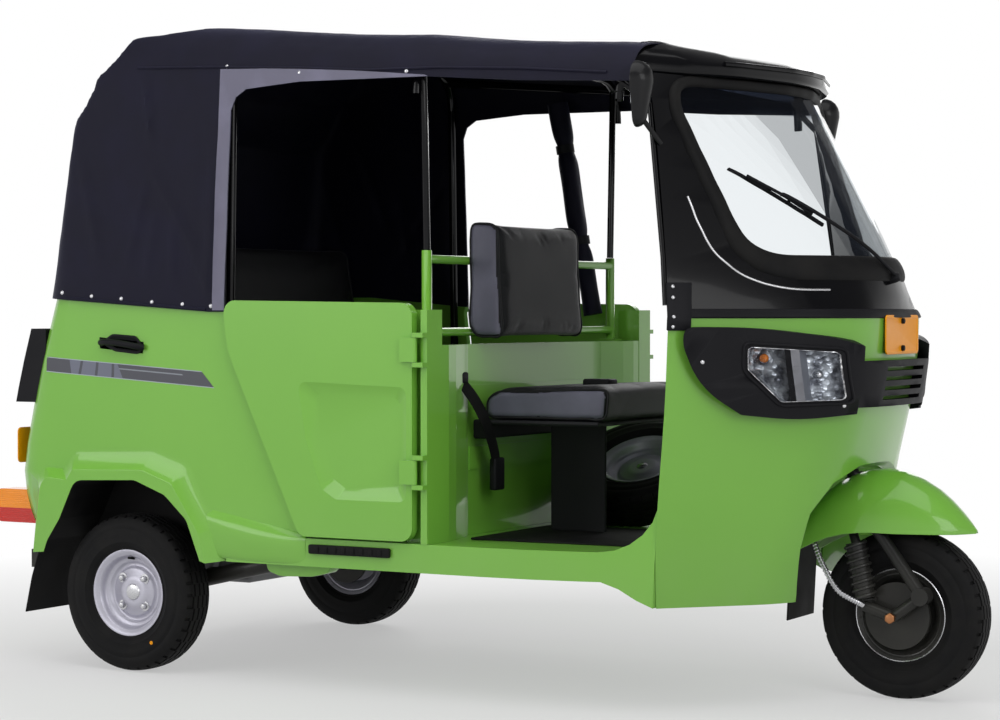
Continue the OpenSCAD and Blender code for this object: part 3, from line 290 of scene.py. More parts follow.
mats = {
    "body_green": paintFinish("greenEnamel", (0.200, 0.490, 0.058), (0.170, 0.440, 0.049), 0.26, 0.55, 0.25),
    "black_paint": paintFinish("blackEnamel", (0.006, 0.006, 0.007), (0.009, 0.009, 0.010), 0.3, 0.12, 0.16),
    "gloss_black": paintFinish("glossBlack", (0.0025, 0.0025, 0.0035), (0.004, 0.004, 0.005), 0.10, 0.14, 0.12),
    "trim_black": plasticFinish("mouldedBlack", (0.006, 0.006, 0.0075), 0.44, 700),
    "rubber_black": rubberFinish("blackRubber", (0.006, 0.006, 0.0065), 0.6),
    "tyre": rubberFinish("tyreRubber", (0.0075, 0.0075, 0.008), 0.6),
    "rim_silver": metalFinish("silverPaint", (0.56, 0.55, 0.63), 0.34, 0.55),
    "rim_black": paintFinish("rimBlack", (0.006, 0.006, 0.007), (0.01, 0.01, 0.011), 0.36, 0.3, 0.25),
    "canopy_vinyl": vinylFinish("canopyVinyl", (0.0062, 0.0058, 0.0150), (0.5, 0.52, 0.95), 0.46, 420, 1.3, 0.10, 0.12),
    # surround vinyl: pale lavender-grey colour, a painted sheen on the binding's dark vinyl
    "surround_vinyl": vinylFinish("surroundVinyl", (0.115, 0.11, 0.165), (0.8, 0.8, 1.0), 0.4, 420, 0.8, 0.2, 0.5),
    "seat_vinyl": vinylFinish("seatVinyl", (0.0055, 0.0055, 0.007), (0.5, 0.5, 0.6), 0.44, 520, 0.5),
    "clear_glass": screenFinish(),
    "lamp_clear": sheetFinish("lampLens", (0.05, 0.05, 0.055), (0.93, 0.95, 0.97), 0.05),
    "lamp_amber": lampFinish("lampAmber", (0.90, 0.28, 0.015), (0.55, 0.02, 0.012), 0.428),
    "plate_yellow": plateFinish(),
    "engine_grey": metalFinish("castGrey", (0.24, 0.24, 0.25), 0.5, 0.7),
    "box_grey": plasticFinish("boxGrey", (0.014, 0.014, 0.016), 0.5, 300),
}
steel = metalFinish("brightSteel", (0.62, 0.62, 0.64), 0.2)
copper = metalFinish("copperNut", (0.45, 0.20, 0.09), 0.35)
mirrorGlass = metalFinish("mirrorGlass", (0.8, 0.82, 0.85), 0.02, 1.0, 4)
reflector = reflectorFinish()
stripeFilm = decalFinish()
# paler lavender-grey copy of the seat vinyl: a painted sheen for the seat sides
paintedSheenSide = vinylFinish("seatSideVinyl", (0.085, 0.083, 0.118), (0.7, 0.7, 0.9), 0.38, 520, 0.4, 0.15, 0.4)
print("materials:", len(bpy.data.materials))


# modelling tools
def clearSelection():
    if bpy.context.object and bpy.context.object.mode != "OBJECT":
        bpy.ops.object.mode_set(mode="OBJECT")
    bpy.ops.object.select_all(action="DESELECT")


def pick(obj):
    clearSelection()
    obj.select_set(True)
    bpy.context.view_layer.objects.active = obj


def edit(obj, *steps, mode="FACE", everything=True):
    pick(obj)
    bpy.context.tool_settings.mesh_select_mode = [mode == m for m in ("VERT", "EDGE", "FACE")]
    bpy.ops.object.mode_set(mode="EDIT")
    if everything:
        bpy.ops.mesh.select_all(action="SELECT")
    for step in steps:
        step()
    bpy.ops.object.mode_set(mode="OBJECT")


def mark(obj, test):  # selects the faces for which test(centre, normal) holds, and counts them
    mesh = obj.data
    mesh.vertices.foreach_set("select", [False] * len(mesh.vertices))
    mesh.edges.foreach_set("select", [False] * len(mesh.edges))
    count = 0
    for face in mesh.polygons:
        face.select = bool(test(face.center, face.normal))
        count += face.select
    return count


def markEdges(obj, test):  # selects the edges for which test(a, b) holds for their two ends
    mesh = obj.data
    mesh.polygons.foreach_set("select", [False] * len(mesh.polygons))
    mesh.vertices.foreach_set("select", [False] * len(mesh.vertices))
    for edge in mesh.edges:
        a, b = (mesh.vertices[i].co for i in edge.vertices)
        edge.select = bool(test(a, b))


def modify(obj, kind, **settings):
    pick(obj)
    modifier = obj.modifiers.new(kind.lower(), kind)
    for key, value in settings.items():
        setattr(modifier, key, value)
    bpy.ops.object.modifier_apply(modifier=modifier.name)


def tidyNormals(obj):
    edit(obj, lambda: bpy.ops.mesh.remove_doubles(threshold=1e-5),
         lambda: bpy.ops.mesh.normals_make_consistent(inside=False))


def settle(obj, name, body, slot, material=None, angle=35, replaces=()):
    pick(obj)
    bpy.ops.object.transform_apply(location=True, rotation=True, scale=True)
    obj.name = obj.data.name = name
    if material or not obj.data.materials:
        obj.data.materials.clear()
        obj.data.materials.append(material or mats[slot])
    bpy.ops.object.shade_smooth_by_angle(angle=math.radians(angle))
    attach(obj, body)
    if replaces:
        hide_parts(*replaces)
    return obj


def joinAll(pieces):
    pick(pieces[0])
    for piece in pieces[1:]:
        piece.select_set(True)
    if len(pieces) > 1:
        bpy.ops.object.join()
    return pieces[0]


def copyNode(node):
    obj = bpy.data.objects.new(node + "Copy", nodes[node].data.copy())
    bpy.context.scene.collection.objects.link(obj)
    obj.data.materials.clear()
    edit(obj, lambda: bpy.ops.mesh.remove_doubles(threshold=2e-5))
    return obj


def dressNode(node, name, bevel=0.003, angle=34, slot=None, material=None, shape=None):
    obj = copyNode(node)
    edit(obj, lambda: bpy.ops.mesh.dissolve_limited(angle_limit=math.radians(1.0)))
    if shape:
        shape(obj)
    if bevel:
        modify(obj, "BEVEL", width=bevel, segments=2, limit_method="ANGLE", angle_limit=math.radians(angle),
               use_clamp_overlap=True, harden_normals=False)
    if angle > 40:
        settle(obj, name, bodyOf[node], slot or slotOf[node], material, angle, (node,))
        modify(obj, "WEIGHTED_NORMAL", keep_sharp=True, weight=100)
        modify(obj, "TRIANGULATE", keep_custom_normals=True)
        return obj
    modify(obj, "TRIANGULATE")
    settle(obj, name, bodyOf[node], slot or slotOf[node], material, angle, (node,))
    modify(obj, "WEIGHTED_NORMAL", keep_sharp=True)
    return obj


def outline(name, points, closed=True):  # a flat face with these corners
    clearSelection()
    bpy.ops.mesh.primitive_circle_add(vertices=len(points), radius=1, fill_type="NGON" if closed else "NOTHING")
    obj = bpy.context.object
    obj.name = name
    for vertex, point in zip(obj.data.vertices, points):
        vertex.co = point
    obj.data.update()
    return obj


def prism(name, points, shift):
    obj = outline(name, points)
    edit(obj, lambda: bpy.ops.mesh.extrude_region_move(TRANSFORM_OT_translate={"value": shift}))
    tidyNormals(obj)
    return obj


def sideView(points, half=0.9):  # a side view outline made as wide as the vehicle
    return prism("cutter", [at(x, 0, z) + Vector((0, -half, 0)) for x, z in points], (0, 2 * half, 0))


def cut(obj, tool, operation):
    modify(obj, "BOOLEAN", object=tool, operation=operation, solver="EXACT")
    bpy.data.objects.remove(tool)


def tube(points, radius, closed=False, sides=3, smooth=True):
    clearSelection()
    bpy.ops.curve.primitive_nurbs_path_add()
    obj = bpy.context.object
    curve = obj.data
    curve.splines.clear()
    spline = curve.splines.new("BEZIER" if smooth else "POLY")
    knots = spline.bezier_points if smooth else spline.points
    knots.add(len(points) - 1)
    for knot, point in zip(knots, points):
        if smooth:
            knot.co = point
            knot.handle_left_type = knot.handle_right_type = "AUTO"
        else:
            knot.co = (*point, 1)
    spline.use_cyclic_u = closed
    curve.dimensions = "3D"
    curve.bevel_depth = radius
    curve.bevel_resolution = sides
    curve.resolution_u = 8
    curve.use_fill_caps = True
    bpy.ops.object.convert(target="MESH")
    return bpy.context.object


def revolve(profile, centre, axis, steps, face=(0, 0, 1)):
    # profile rows are (radius, place along the axis), turned about the axis through centre
    axis = Vector(axis).normalized()
    out = Vector(face)
    out = (out - axis * out.dot(axis)).normalized()
    obj = outline("ring", [centre + out * r + axis * a for r, a in profile], closed=False)
    turn = lambda: bpy.ops.mesh.spin(steps=steps, angle=2 * math.pi, center=centre, axis=axis)
    edit(obj, turn, mode="VERT")
    tidyNormals(obj)
    return obj


def bolt(place, direction, radius, height, sides=6):
    clearSelection()
    bpy.ops.mesh.primitive_cylinder_add(vertices=sides, radius=radius, depth=height)
    obj = bpy.context.object
    turn = Vector(direction).to_track_quat("Z", "Y")
    mark(obj, lambda c, n: n.z > 0.9)
    edit(obj, lambda: bpy.ops.mesh.inset(thickness=radius * 0.3),
         lambda: bpy.ops.transform.translate(value=(0, 0, height * 0.15)), everything=False)
    modify(obj, "BEVEL", width=radius * 0.12, segments=2, limit_method="ANGLE")
    obj.data.transform(Matrix.Translation(Vector(place)) @ turn.to_matrix().to_4x4())
    return obj


def dome(place, direction, radius, rise):
    clearSelection()
    bpy.ops.mesh.primitive_uv_sphere_add(segments=16, ring_count=8, radius=radius)
    obj = bpy.context.object
    obj.data.transform(Matrix.Diagonal((1, 1, rise, 1)))
    turn = Vector(direction).to_track_quat("Z", "Y")
    obj.data.transform(Matrix.Translation(Vector(place)) @ turn.to_matrix().to_4x4())
    return obj


surfaces = {}


def surfaceOf(obj):
    if obj.name not in surfaces:
        mesh = obj.data
        surfaces[obj.name] = BVHTree.FromPolygons([v.co for v in mesh.vertices], [p.vertices for p in mesh.polygons])
    return surfaces[obj.name]


def hitNode(node, origin, direction):  # where a ray first meets a CAD node or a finished piece
    obj = nodes.get(node) or bpy.data.objects[node]
    place, normal, _, _ = surfaceOf(obj).ray_cast(Vector(origin), Vector(direction))
    if place is None:
        raise RuntimeError(f"nothing of {node} at {tuple(origin)}")
    return place, normal


makeCamera()
makeLamps()

# every carried-over node gets its finish
for nodeName, obj in nodes.items():
    obj.data.materials.clear()
    obj.data.materials.append(mats[slotOf[nodeName]])


# panels from the CAD, with softened edges
def roundEdges(obj, near, width, segments=4):  # rounds the edges that lie this far out to the side
    markEdges(obj, lambda a, b: all(near[0] < abs(p.y) < near[1] for p in (a, b)))
    edit(obj, lambda: bpy.ops.mesh.bevel(offset=width, segments=segments, clamp_overlap=True),
         mode="EDGE", everything=False)


doorPress = {"floor": 0.640, "face": (0.6493, 0.6507), "middle": at(800, 0, 640), "shrink": 0.80, "round": 0.009}


def shapeDoor(obj):  # slopes the walls of the pressed recess, and rounds its rim and the door's edge
    for vertex in obj.data.vertices:
        if abs(abs(vertex.co.y) - doorPress["floor"]) < 2e-4 and vertex.co.z > 0.45:
            middle = doorPress["middle"]
            vertex.co.x = middle.x + (vertex.co.x - middle.x) * doorPress["shrink"]
            vertex.co.z = middle.z + (vertex.co.z - middle.z) * doorPress["shrink"]
    roundEdges(obj, doorPress["face"], doorPress["round"])


archLine = [(-262, 300), (-222, 350), (-180, 410), (-128, 516), (74, 523), (173, 487), (244, 424), (286, 321), (310, 230)]
flareForm = {"face": 0.6645, "share": 0.58, "edge": 14, "rear": -196, "rearShare": 0.22, "lip": 0.016, "house": 0.36}


def nearestOn(line, p):
    best = None
    for a, b in zip(line, line[1:]):
        a, b = Vector(a), Vector(b)
        t = min(1, max(0, (p - a).dot(b - a) / (b - a).length_squared))
        spot = a.lerp(b, t)
        if best is None or (spot - p).length < (best - p).length:
            best = spot
    return best


def shapeQuarter(obj):  # slopes the flare towards the arch, rounds it, and paints the wheel house black as painted shade
    f = flareForm
    for vertex in obj.data.vertices:
        if abs(vertex.co.y) > f["face"]:
            p = Vector((vertex.co.x - rearAxle.x, vertex.co.z)) * 1000
            spot = nearestOn(archLine, p)
            if (spot - p).length > f["edge"]:
                moved = p.lerp(spot, f["rearShare"] if p.x < f["rear"] else f["share"])
                vertex.co.x = moved.x / 1000 + rearAxle.x
                if p.y > 300:
                    vertex.co.z = moved.y / 1000
    roundEdges(obj, (f["face"], 0.6660), f["lip"])
    obj.data.materials.append(mats["body_green"])
    obj.data.materials.append(mats["rubber_black"])
    # faces inside the wheel house get the black rubber finish: painted shade inside the green arch
    middle = at(20, 0, 300)
    for face in obj.data.polygons:
        offset = Vector((face.center.x - middle.x, 0, face.center.z - middle.z))
        hollow = face.normal.dot(offset) < 0 or abs(face.normal.y) > 0.9
        inside = offset.length < f["house"] and abs(face.center.y) < 0.622 and hollow
        face.material_index = int(inside)


bandLine = [(1636, 891), (1640, 934), (1766, 932), (1926, 906), (1990, 872), (1990, 726), (1953, 722), (1841, 708), (1739, 723),
            (1686, 771), (1657, 819)]


def shapeBand(obj):  # rounds the corners of the lamp band's side outline
    count = len(bandLine)
    for i in range(count):
        before, corner, after = (Vector(bandLine[(i + k) % count]) for k in (-1, 0, 1))
        reach = min(0.48 * (before - corner).length, 0.48 * (after - corner).length, 60)
        a, b = corner + (before - corner).normalized() * reach, corner + (after - corner).normalized() * reach
        arc = [a * (1 - t) ** 2 + corner * 2 * t * (1 - t) + b * t * t for t in (k / 6 for k in range(7))]
        out = (corner - (a + b) / 2).normalized() * 6
        cut(obj, sideView([tuple(p) for p in [a + out] + arc + [b + out, corner + out * 2]]), "DIFFERENCE")


def shapePost(obj):  # softens the swelling beside each door post
    markEdges(obj, lambda a, b: abs(a.z - b.z) > 0.2 and min(abs(a.y), abs(b.y)) > 0.3 and (a - b).xy.length < 0.01)
    edit(obj, lambda: bpy.ops.mesh.bevel(offset=0.022, segments=4, clamp_overlap=True), mode="EDGE", everything=False)


def widenFlap(obj):  # carries the rear flaps further in behind the wheels
    for vertex in obj.data.vertices:
        if abs(vertex.co.y) < flapForm["inner"]:
            vertex.co.y += flapForm["reach"] * (-1 if vertex.co.y > 0 else 1)


flapForm = {"inner": 0.5, "reach": 0.10}


panels = {
    "quarter_right": (0.004, shapeQuarter), "quarter_left": (0.004, shapeQuarter), "tail_panel": (0.003, None),
    "tail_lid": (0.003, None), "cowl_lower": (0.006, None), "cowl_upper": (0.004, None), "visor": (0.008, None),
    "front_fender": (0.0012, None), "partition": (0.006, shapePost), "floor_pan": (0.006, None),
    "door_right": (0.003, shapeDoor), "door_left": (0.003, shapeDoor), "dashboard": (0.004, None),
    "lamp_band": (0.008, shapeBand), "tail_vents": (0.005, None), "seat_frame": (0, None), "canopy_bows": (0, None), "seat_stand": (0.006, None),
    "mirrors": (0.004, None), "tail_lamps": (0.005, None), "rear_bumper": (0.003, None),
    "chassis_frame": (0.003, None), "rear_mudflaps": (0.0015, widenFlap), "front_mudflap": (0.0015, None),
    "rear_suspension": (0.002, None), "steering_column": (0.0015, None), "front_fork": (0.002, None),
}
softer = {"quarter_right": 48, "quarter_left": 48, "seat_frame": 55, "canopy_bows": 55}
finishes = {"canopy_bows": "gloss_black", "mirrors": "black_paint"}
for nodeName, (bevel, shape) in panels.items():
    words = nodeName.split("_")
    dressNode(nodeName, words[0] + "".join(w.capitalize() for w in words[1:]), bevel, softer.get(nodeName, 34),
              material=mats.get(finishes.get(nodeName)), shape=shape)
print("panels:", len(panels))

# canopy: one coated cloth over the hoops, cut round the side openings
canopyForm = {
    "rear": -273, "front": 1506, "side": 638, "shoulder": 46, "roof": 1740, "crown": 246, "fall": 0.085,
    "corners": [(-275, 1000), (-224, 1225), (-193, 1400), (-194, 1474), (-98, 1606), (0, 1712), (246, 1742), (893, 1686), (1600, 1625)],
    "sag": [0, 2, 2, 10, 10, 8, 6, 6], "lean": 0.17, "hem": 1008, "skirt": (349, 970), "voxel": 0.013, "cloth": 0.0035, "hoops": (330, 893, 1460),
}
openingLine = [(349, 1496), (363, 1530), (395, 1550), (562, 1562), (945, 1558), (1202, 1537), (1700, 1512)]
# creases: start and end as (x, z), height and half width in millimetres
creases = {
    -1: [((91, 1360), (290, 1085), 4.5, 9), ((84, 1330), (31, 1090), 3.5, 9), ((120, 1250), (95, 1060), 2.5, 8),
         ((300, 1400), (296, 1010), 5, 16), ((60, 1620), (98, 1405), 5, 10), ((170, 1230), (185, 1040), 2.5, 9),
         ((-150, 1420), (-60, 1100), 3, 14), ((230, 1150), (310, 1000), 4, 8)],
    1: [((300, 1390), (60, 1080), 4.5, 9), ((110, 1340), (140, 1080), 3.5, 9), ((-40, 1500), (70, 1210), 4, 11),
        ((302, 1420), (297, 1010), 5, 16), ((-170, 1400), (-90, 1090), 3, 13), ((220, 1180), (190, 1030), 2.5, 8)],
}


def sagged(corners, sags):  # a line that hangs between its corners
    points = []
    for (a, b), sag in zip(zip(corners, corners[1:]), sags):
        a, b = Vector(a), Vector(b)
        inward = Vector((b.y - a.y, -(b.x - a.x))).normalized()
        for step in range(10):
            t = step / 10
            points.append(a.lerp(b, t) + inward * sag * math.sin(math.pi * t))
    return points + [Vector(corners[-1])]


def canopyBlock():
    c = canopyForm
    roofLine = sagged(c["corners"], c["sag"])
    block = sideView([(1600, 900), (-290, 900)] + [tuple(p) for p in roofLine])
    top, edge = c["roof"] - 18, c["side"] - c["shoulder"]
    a, b, d = Vector((c["side"], 1020)), Vector((edge, top)), Vector((0, c["roof"] + 26))
    p, q = b + (a - b).normalized() * 120, b + (d - b).normalized() * 120
    bend = [p * (1 - t) ** 2 + 2 * b * t * (1 - t) + q * t * t for t in (i / 8 for i in range(9))]
    right = [Vector((c["side"], 700)), a] + bend + [d]
    section = right + [Vector((-v.x, v.y)) for v in reversed(right[:-1])]
    tilt = lambda x: c["fall"] * (c["crown"] - x)
    rib = prism("cutter", [at(-500, y, z + tilt(-500)) for y, z in section], (2.2, 0, -2.2 * c["fall"]))
    cut(block, rib, "INTERSECT")
    corner, side = 90, c["side"]
    arc = [(c["rear"] + corner - corner * math.sin(t), side - corner + corner * math.cos(t))
           for t in (math.pi / 2 * i / 8 for i in range(9))]
    plan = [(1700, side)] + arc + [(x, -y) for x, y in reversed(arc)] + [(1700, -side)]
    cut(block, prism("cutter", [at(x - 400 * c["lean"], y, 600) for x, y in plan], (1.6 * c["lean"], 0, 1.6)), "INTERSECT")
    modify(block, "REMESH", mode="VOXEL", voxel_size=c["voxel"])
    modify(block, "SMOOTH", factor=0.5, iterations=6)
    return block


def creaseHeight(x, z, side):
    height = 0
    for (x1, z1), (x2, z2), tall, wide in creases[side]:
        along, start = Vector((x2 - x1, z2 - z1)), Vector((x1, z1))
        t = min(1, max(0, (Vector((x, z)) - start).dot(along) / along.length_squared))
        gap = (Vector((x, z)) - start - along * t).length
        height += 1.5 * tall * math.exp(-(gap / wide) ** 2) * min(1, 4 * t * (1 - t) + 0.25)
    return height


def hang(obj):  # creases on the sides, a sag between the hoops, and soft unevenness all over
    c = canopyForm
    obj.data.update()
    moves = []
    for vertex in obj.data.vertices:
        x, y, z = vertex.co.x * 1000 - rearAxle.x * 1000, vertex.co.y * 1000, vertex.co.z * 1000
        n = vertex.normal
        low = min(1, max(0, (z - c["skirt"][1]) / 90))
        move = 2.6 * noise.noise(Vector((x / 150, y / 190, z / 260))) + 1.0 * noise.noise(Vector((x / 38, y / 60, z / 75)))
        if abs(n.y) > 0.6 and x < c["skirt"][0] + 20:
            move += creaseHeight(x, z, -1 if y < 0 else 1)
        if n.z > 0.6:
            for a, b in zip(c["hoops"], c["hoops"][1:]):
                if a < x < b:
                    move -= 8 * math.sin(math.pi * (x - a) / (b - a)) * (1 - min(1, abs(y) / 600) ** 4)
        if n.x < -0.6:
            move -= 5 * math.sin(math.pi * min(1, abs(y) / 560)) ** 2
        moves.append(n * (move * low / 1000))
    for vertex, move in zip(obj.data.vertices, moves):
        vertex.co += move
    obj.data.update()


def openSheet(obj, keep):  # deletes the faces that a cut left across the inside
    mark(obj, lambda centre, normal: not keep(centre, normal))
    edit(obj, lambda: bpy.ops.mesh.delete(type="FACE"), everything=False)


def makeCanopy():
    c = canopyForm
    block = canopyBlock()
    hang(block)
    band = bpy.data.objects.new("bandBlock", block.data.copy())
    bpy.context.scene.collection.objects.link(band)
    skirtX, skirtZ = c["skirt"]
    cut(block, sideView([(skirtX, 600)] + openingLine + [(1700, 600)]), "DIFFERENCE")
    cut(block, sideView([(-700, 1020), (-265, c["hem"]), (skirtX - 52, skirtZ), (skirtX + 60, skirtZ),
                         (skirtX + 60, 500), (-700, 500)]), "DIFFERENCE")
    cut(block, sideView([(c["front"], 500), (1900, 500), (1900, 2000), (c["front"], 2000)]), "DIFFERENCE")
    openSheet(block, lambda centre, normal: normal.x < 0.5 and normal.z > -0.5)
    modify(block, "SOLIDIFY", thickness=c["cloth"], offset=-1)
    canopy = settle(block, "canopyCloth", "body", "canopy_vinyl", angle=40, replaces=("canopy",))
    # binding round the rear of each side opening, its pale lavender-grey colour a painted sheen on the dark vinyl
    cut(band, sideView([(skirtX - 37, 974), (skirtX - 37, 1606), (500, 1599), (720, 1583), (935, 1562), (945, 1558)]
                       + openingLine[3::-1] + [(skirtX, 974)]), "INTERSECT")
    openSheet(band, lambda centre, normal: abs(normal.y) > 0.6 and abs(centre.y) > 0.5)
    modify(band, "SOLIDIFY", thickness=0.0024, offset=1)
    binding = settle(band, "openingBinding", "body", "surround_vinyl", angle=40, replaces=("side_surrounds",))
    return canopy, binding


canopy, binding = makeCanopy()
print("canopy:", len(canopy.data.polygons), "faces")

# seats: padded pieces, swollen by a short cloth run
pads = {
    "driverBack": {"outline": [(905, 932), (922, 894), (1006, 894), (1000, 1000), (990, 1192), (978, 1206), (914, 1213), (905, 1198)],
                   "sides": (-345, 150), "node": "driver_seat", "voxel": 0.008, "cap": 0.009, "pale": True},
    "driverBase": {"outline": [(946, 694), (1314, 694), (1322, 770), (1311, 777), (985, 765), (946, 746)],
                   "sides": (-345, 150), "node": "driver_seat", "voxel": 0.008, "cap": 0.009, "pale": True},
    "benchBase": {"outline": [(96, 631), (596, 631), (600, 742), (584, 750), (96, 732)],
                  "sides": (-556, 556), "node": "passenger_seat", "voxel": 0.011, "cap": 0.014, "pale": False},
    "benchBack": {"outline": [(78, 634), (-56, 634), (-112, 1170), (-98, 1178), (-36, 1178), (-24, 1168)],
                  "sides": (-556, 556), "node": "passenger_seat", "voxel": 0.011, "cap": 0.014, "pale": False},
}


def swell(obj, cap):  # the cover fills out under a little pressure, by no more than the cap
    start = [vertex.co.copy() for vertex in obj.data.vertices]
    pick(obj)
    cloth = obj.modifiers.new("cover", "CLOTH")
    cloth.settings.use_pressure = True
    cloth.settings.uniform_pressure_force = 4
    cloth.settings.effector_weights.gravity = 0
    cloth.settings.quality = 4
    scene = bpy.context.scene
    for step in range(1, 21):
        scene.frame_set(step)
    bpy.ops.object.modifier_apply(modifier=cloth.name)
    scene.frame_set(1)
    for vertex, was in zip(obj.data.vertices, start):
        move = vertex.co - was
        if move.length > cap:
            vertex.co = was + move.normalized() * cap
    obj.data.update()


def makePad(name, pad):
    inset = pad["cap"] * 0.6
    right, left = (y / 1000 for y in (pad["sides"][0] + 8, pad["sides"][1] - 8))
    middle = sum((at(x, 0, z) for x, z in pad["outline"]), Vector()) / len(pad["outline"])
    corners = [at(x, 0, z) for x, z in pad["outline"]]
    corners = [p + (middle - p).normalized() * inset + Vector((0, right, 0)) for p in corners]
    obj = prism(name, corners, (0, left - right, 0))
    modify(obj, "BEVEL", width=0.014, segments=3, limit_method="ANGLE", angle_limit=math.radians(50))
    modify(obj, "REMESH", mode="VOXEL", voxel_size=pad["voxel"])
    modify(obj, "SMOOTH", factor=0.5, iterations=4)
    swell(obj, pad["cap"])
    modify(obj, "SUBSURF", levels=1, render_levels=1)
    settle(obj, name, "body", "seat_vinyl", angle=60, replaces=(pad["node"],))
    # on the driver's cushions, faces that look sideways get the paler vinyl as a painted sheen
    if pad["pale"]:
        obj.data.materials.append(paintedSheenSide)
        for face in obj.data.polygons:
            face.material_index = int(abs(face.normal.y) > 0.72)
    return obj


def piping(name, pad, cushion, inset, radius=0.0035):  # a welt on the seam round each end of a cushion
    rings = []
    for end in (pad["sides"][0] + inset, pad["sides"][1] - inset):
        corners = [at(x, 0, z) for x, z in pad["outline"]]
        count = len(corners)
        points = []
        for i in range(count):
            a, b = corners[i], corners[(i + 1) % count]
            steps = max(2, int((b - a).length / 0.03))
            points += [a.lerp(b, s / steps) for s in range(steps)]
        route = []
        for p in points:
            p = p + Vector((0, end / 1000, 0))
            found, spot, normal, _ = cushion.closest_point_on_mesh(p)
            route.append(spot + normal * radius * 0.3)
        rings.append(tube(route, radius, closed=True, sides=2))
    return settle(joinAll(rings), name, "body", "seat_vinyl", angle=60)


cushions = {name: makePad(name, pad) for name, pad in pads.items()}
for name, pad in pads.items():
    piping(name + "Welt", pad, cushions[name], 22)
print("cushions:", len(cushions))

# wheels
tyreForm = {"radius": 0.2125, "half": 0.0565, "bead": 0.1018, "steps": 160, "bands": 15, "tread": 0.049, "groove": 0.0045}
wheelPlaces = {
    "frontTyre": (frontAxle, (0, 1, 0), "front_tyre"),
    "rearTyreRight": (Vector((rearAxle.x, -0.554, rearAxle.z)), (0, -1, 0), "rear_tyre_right"),
    "rearTyreLeft": (Vector((rearAxle.x, 0.554, rearAxle.z)), (0, 1, 0), "rear_tyre_left"),
}


def crownRadius(a):  # radius of the tread at this distance from its middle
    t = tyreForm
    return t["radius"] - 0.0035 * (a / t["tread"]) ** 2 - 0.0065 * abs(a / t["tread"]) ** 6


def makeTyre(name, centre, axis, node, body):
    t = tyreForm
    half, bead = t["half"], t["bead"]
    wall = [(bead, -0.0365), (bead + 0.012, -0.0372), (bead + 0.016, -0.0415), (bead + 0.021, -0.0425), (bead + 0.024, -0.046),
            (bead + 0.030, -0.0505), (bead + 0.034, -0.0528), (bead + 0.036, -0.0545), (bead + 0.039, -0.0545),
            (bead + 0.041, -0.0536), (bead + 0.055, -half), (bead + 0.068, -half + 0.0008), (bead + 0.070, -half + 0.0022),
            (bead + 0.074, -half + 0.0022), (bead + 0.076, -half + 0.0012), (bead + 0.086, -0.0535)]
    edges = [t["tread"] * (2 * i / t["bands"] - 1) for i in range(t["bands"] + 1)]
    crown = [(crownRadius(a), a) for a in edges]
    inside = [(bead, 0.02), (bead + 0.045, 0.038), (t["radius"] - 0.022, 0.034), (t["radius"] - 0.018, 0),
              (t["radius"] - 0.022, -0.034), (bead + 0.045, -0.038), (bead, -0.02)]
    profile = wall + crown + [(r, -a) for r, a in reversed(wall)] + inside
    obj = revolve(profile, centre, axis, t["steps"])
    axis = Vector(axis)
    side = axis.orthogonal().normalized()
    up = axis.cross(side)
    width = 2 * t["tread"] / t["bands"]

    def isGroove(place, normal):
        offset = place - centre
        a = offset.dot(axis)
        if (offset - axis * a).length < t["radius"] - 0.012 or abs(a) > t["tread"] or normal.dot(offset - axis * a) < 0:
            return False
        turn = math.atan2(offset.dot(up), offset.dot(side)) % (2 * math.pi)
        step = int(turn / (2 * math.pi) * t["steps"])
        band = int((a + t["tread"]) / width)
        zig = 1 if step % 8 < 4 else 0
        return band in (2 + zig, 5 + zig, 8 + zig, 11 + zig) or (band in (0, 1, 13, 14) and step % 4 == 0)

    mark(obj, isGroove)
    edit(obj, lambda: bpy.ops.mesh.inset(thickness=0.0007, depth=-t["groove"], use_even_offset=True), everything=False)
    return settle(obj, name, body, "tyre", angle=38, replaces=(node,))


for name, (centre, axis, node) in wheelPlaces.items():
    makeTyre(name, centre, axis, node, bodyOf[node])

# rear rims: pressed steel with a stepped dish, four nuts and a flat centre
rimProfile = [(0.1165, 0.0405), (0.1168, 0.0432), (0.1150, 0.0440), (0.1095, 0.0415), (0.1030, 0.0380), (0.0985, 0.0340), (0.0960, 0.0250),
              (0.0935, 0.0180), (0.0905, 0.0160), (0.0850, 0.0155), (0.0820, 0.0130), (0.0790, 0.0070), (0.0740, 0.0055), (0.0690, 0.0070),
              (0.0660, 0.0120), (0.0620, 0.0150), (0.0470, 0.0158), (0.0440, 0.0190), (0.0300, 0.0200), (0.0157, 0.0200), (0.0157, 0.0050),
              (0.0600, 0.0050), (0.0760, -0.0005), (0.0795, -0.0100), (0.0795, -0.0113), (0.0955, -0.0339), (0.1165, -0.0433),
              (0.1165, -0.0400), (0.1015, -0.0373), (0.1015, -0.0226), (0.0855, -0.0113), (0.0855, 0.0113), (0.1015, 0.0226), (0.1015, 0.0373)]
rimParts = {"nutRadius": 0.0085, "nutCircle": 0.052, "nutHeight": 0.014}


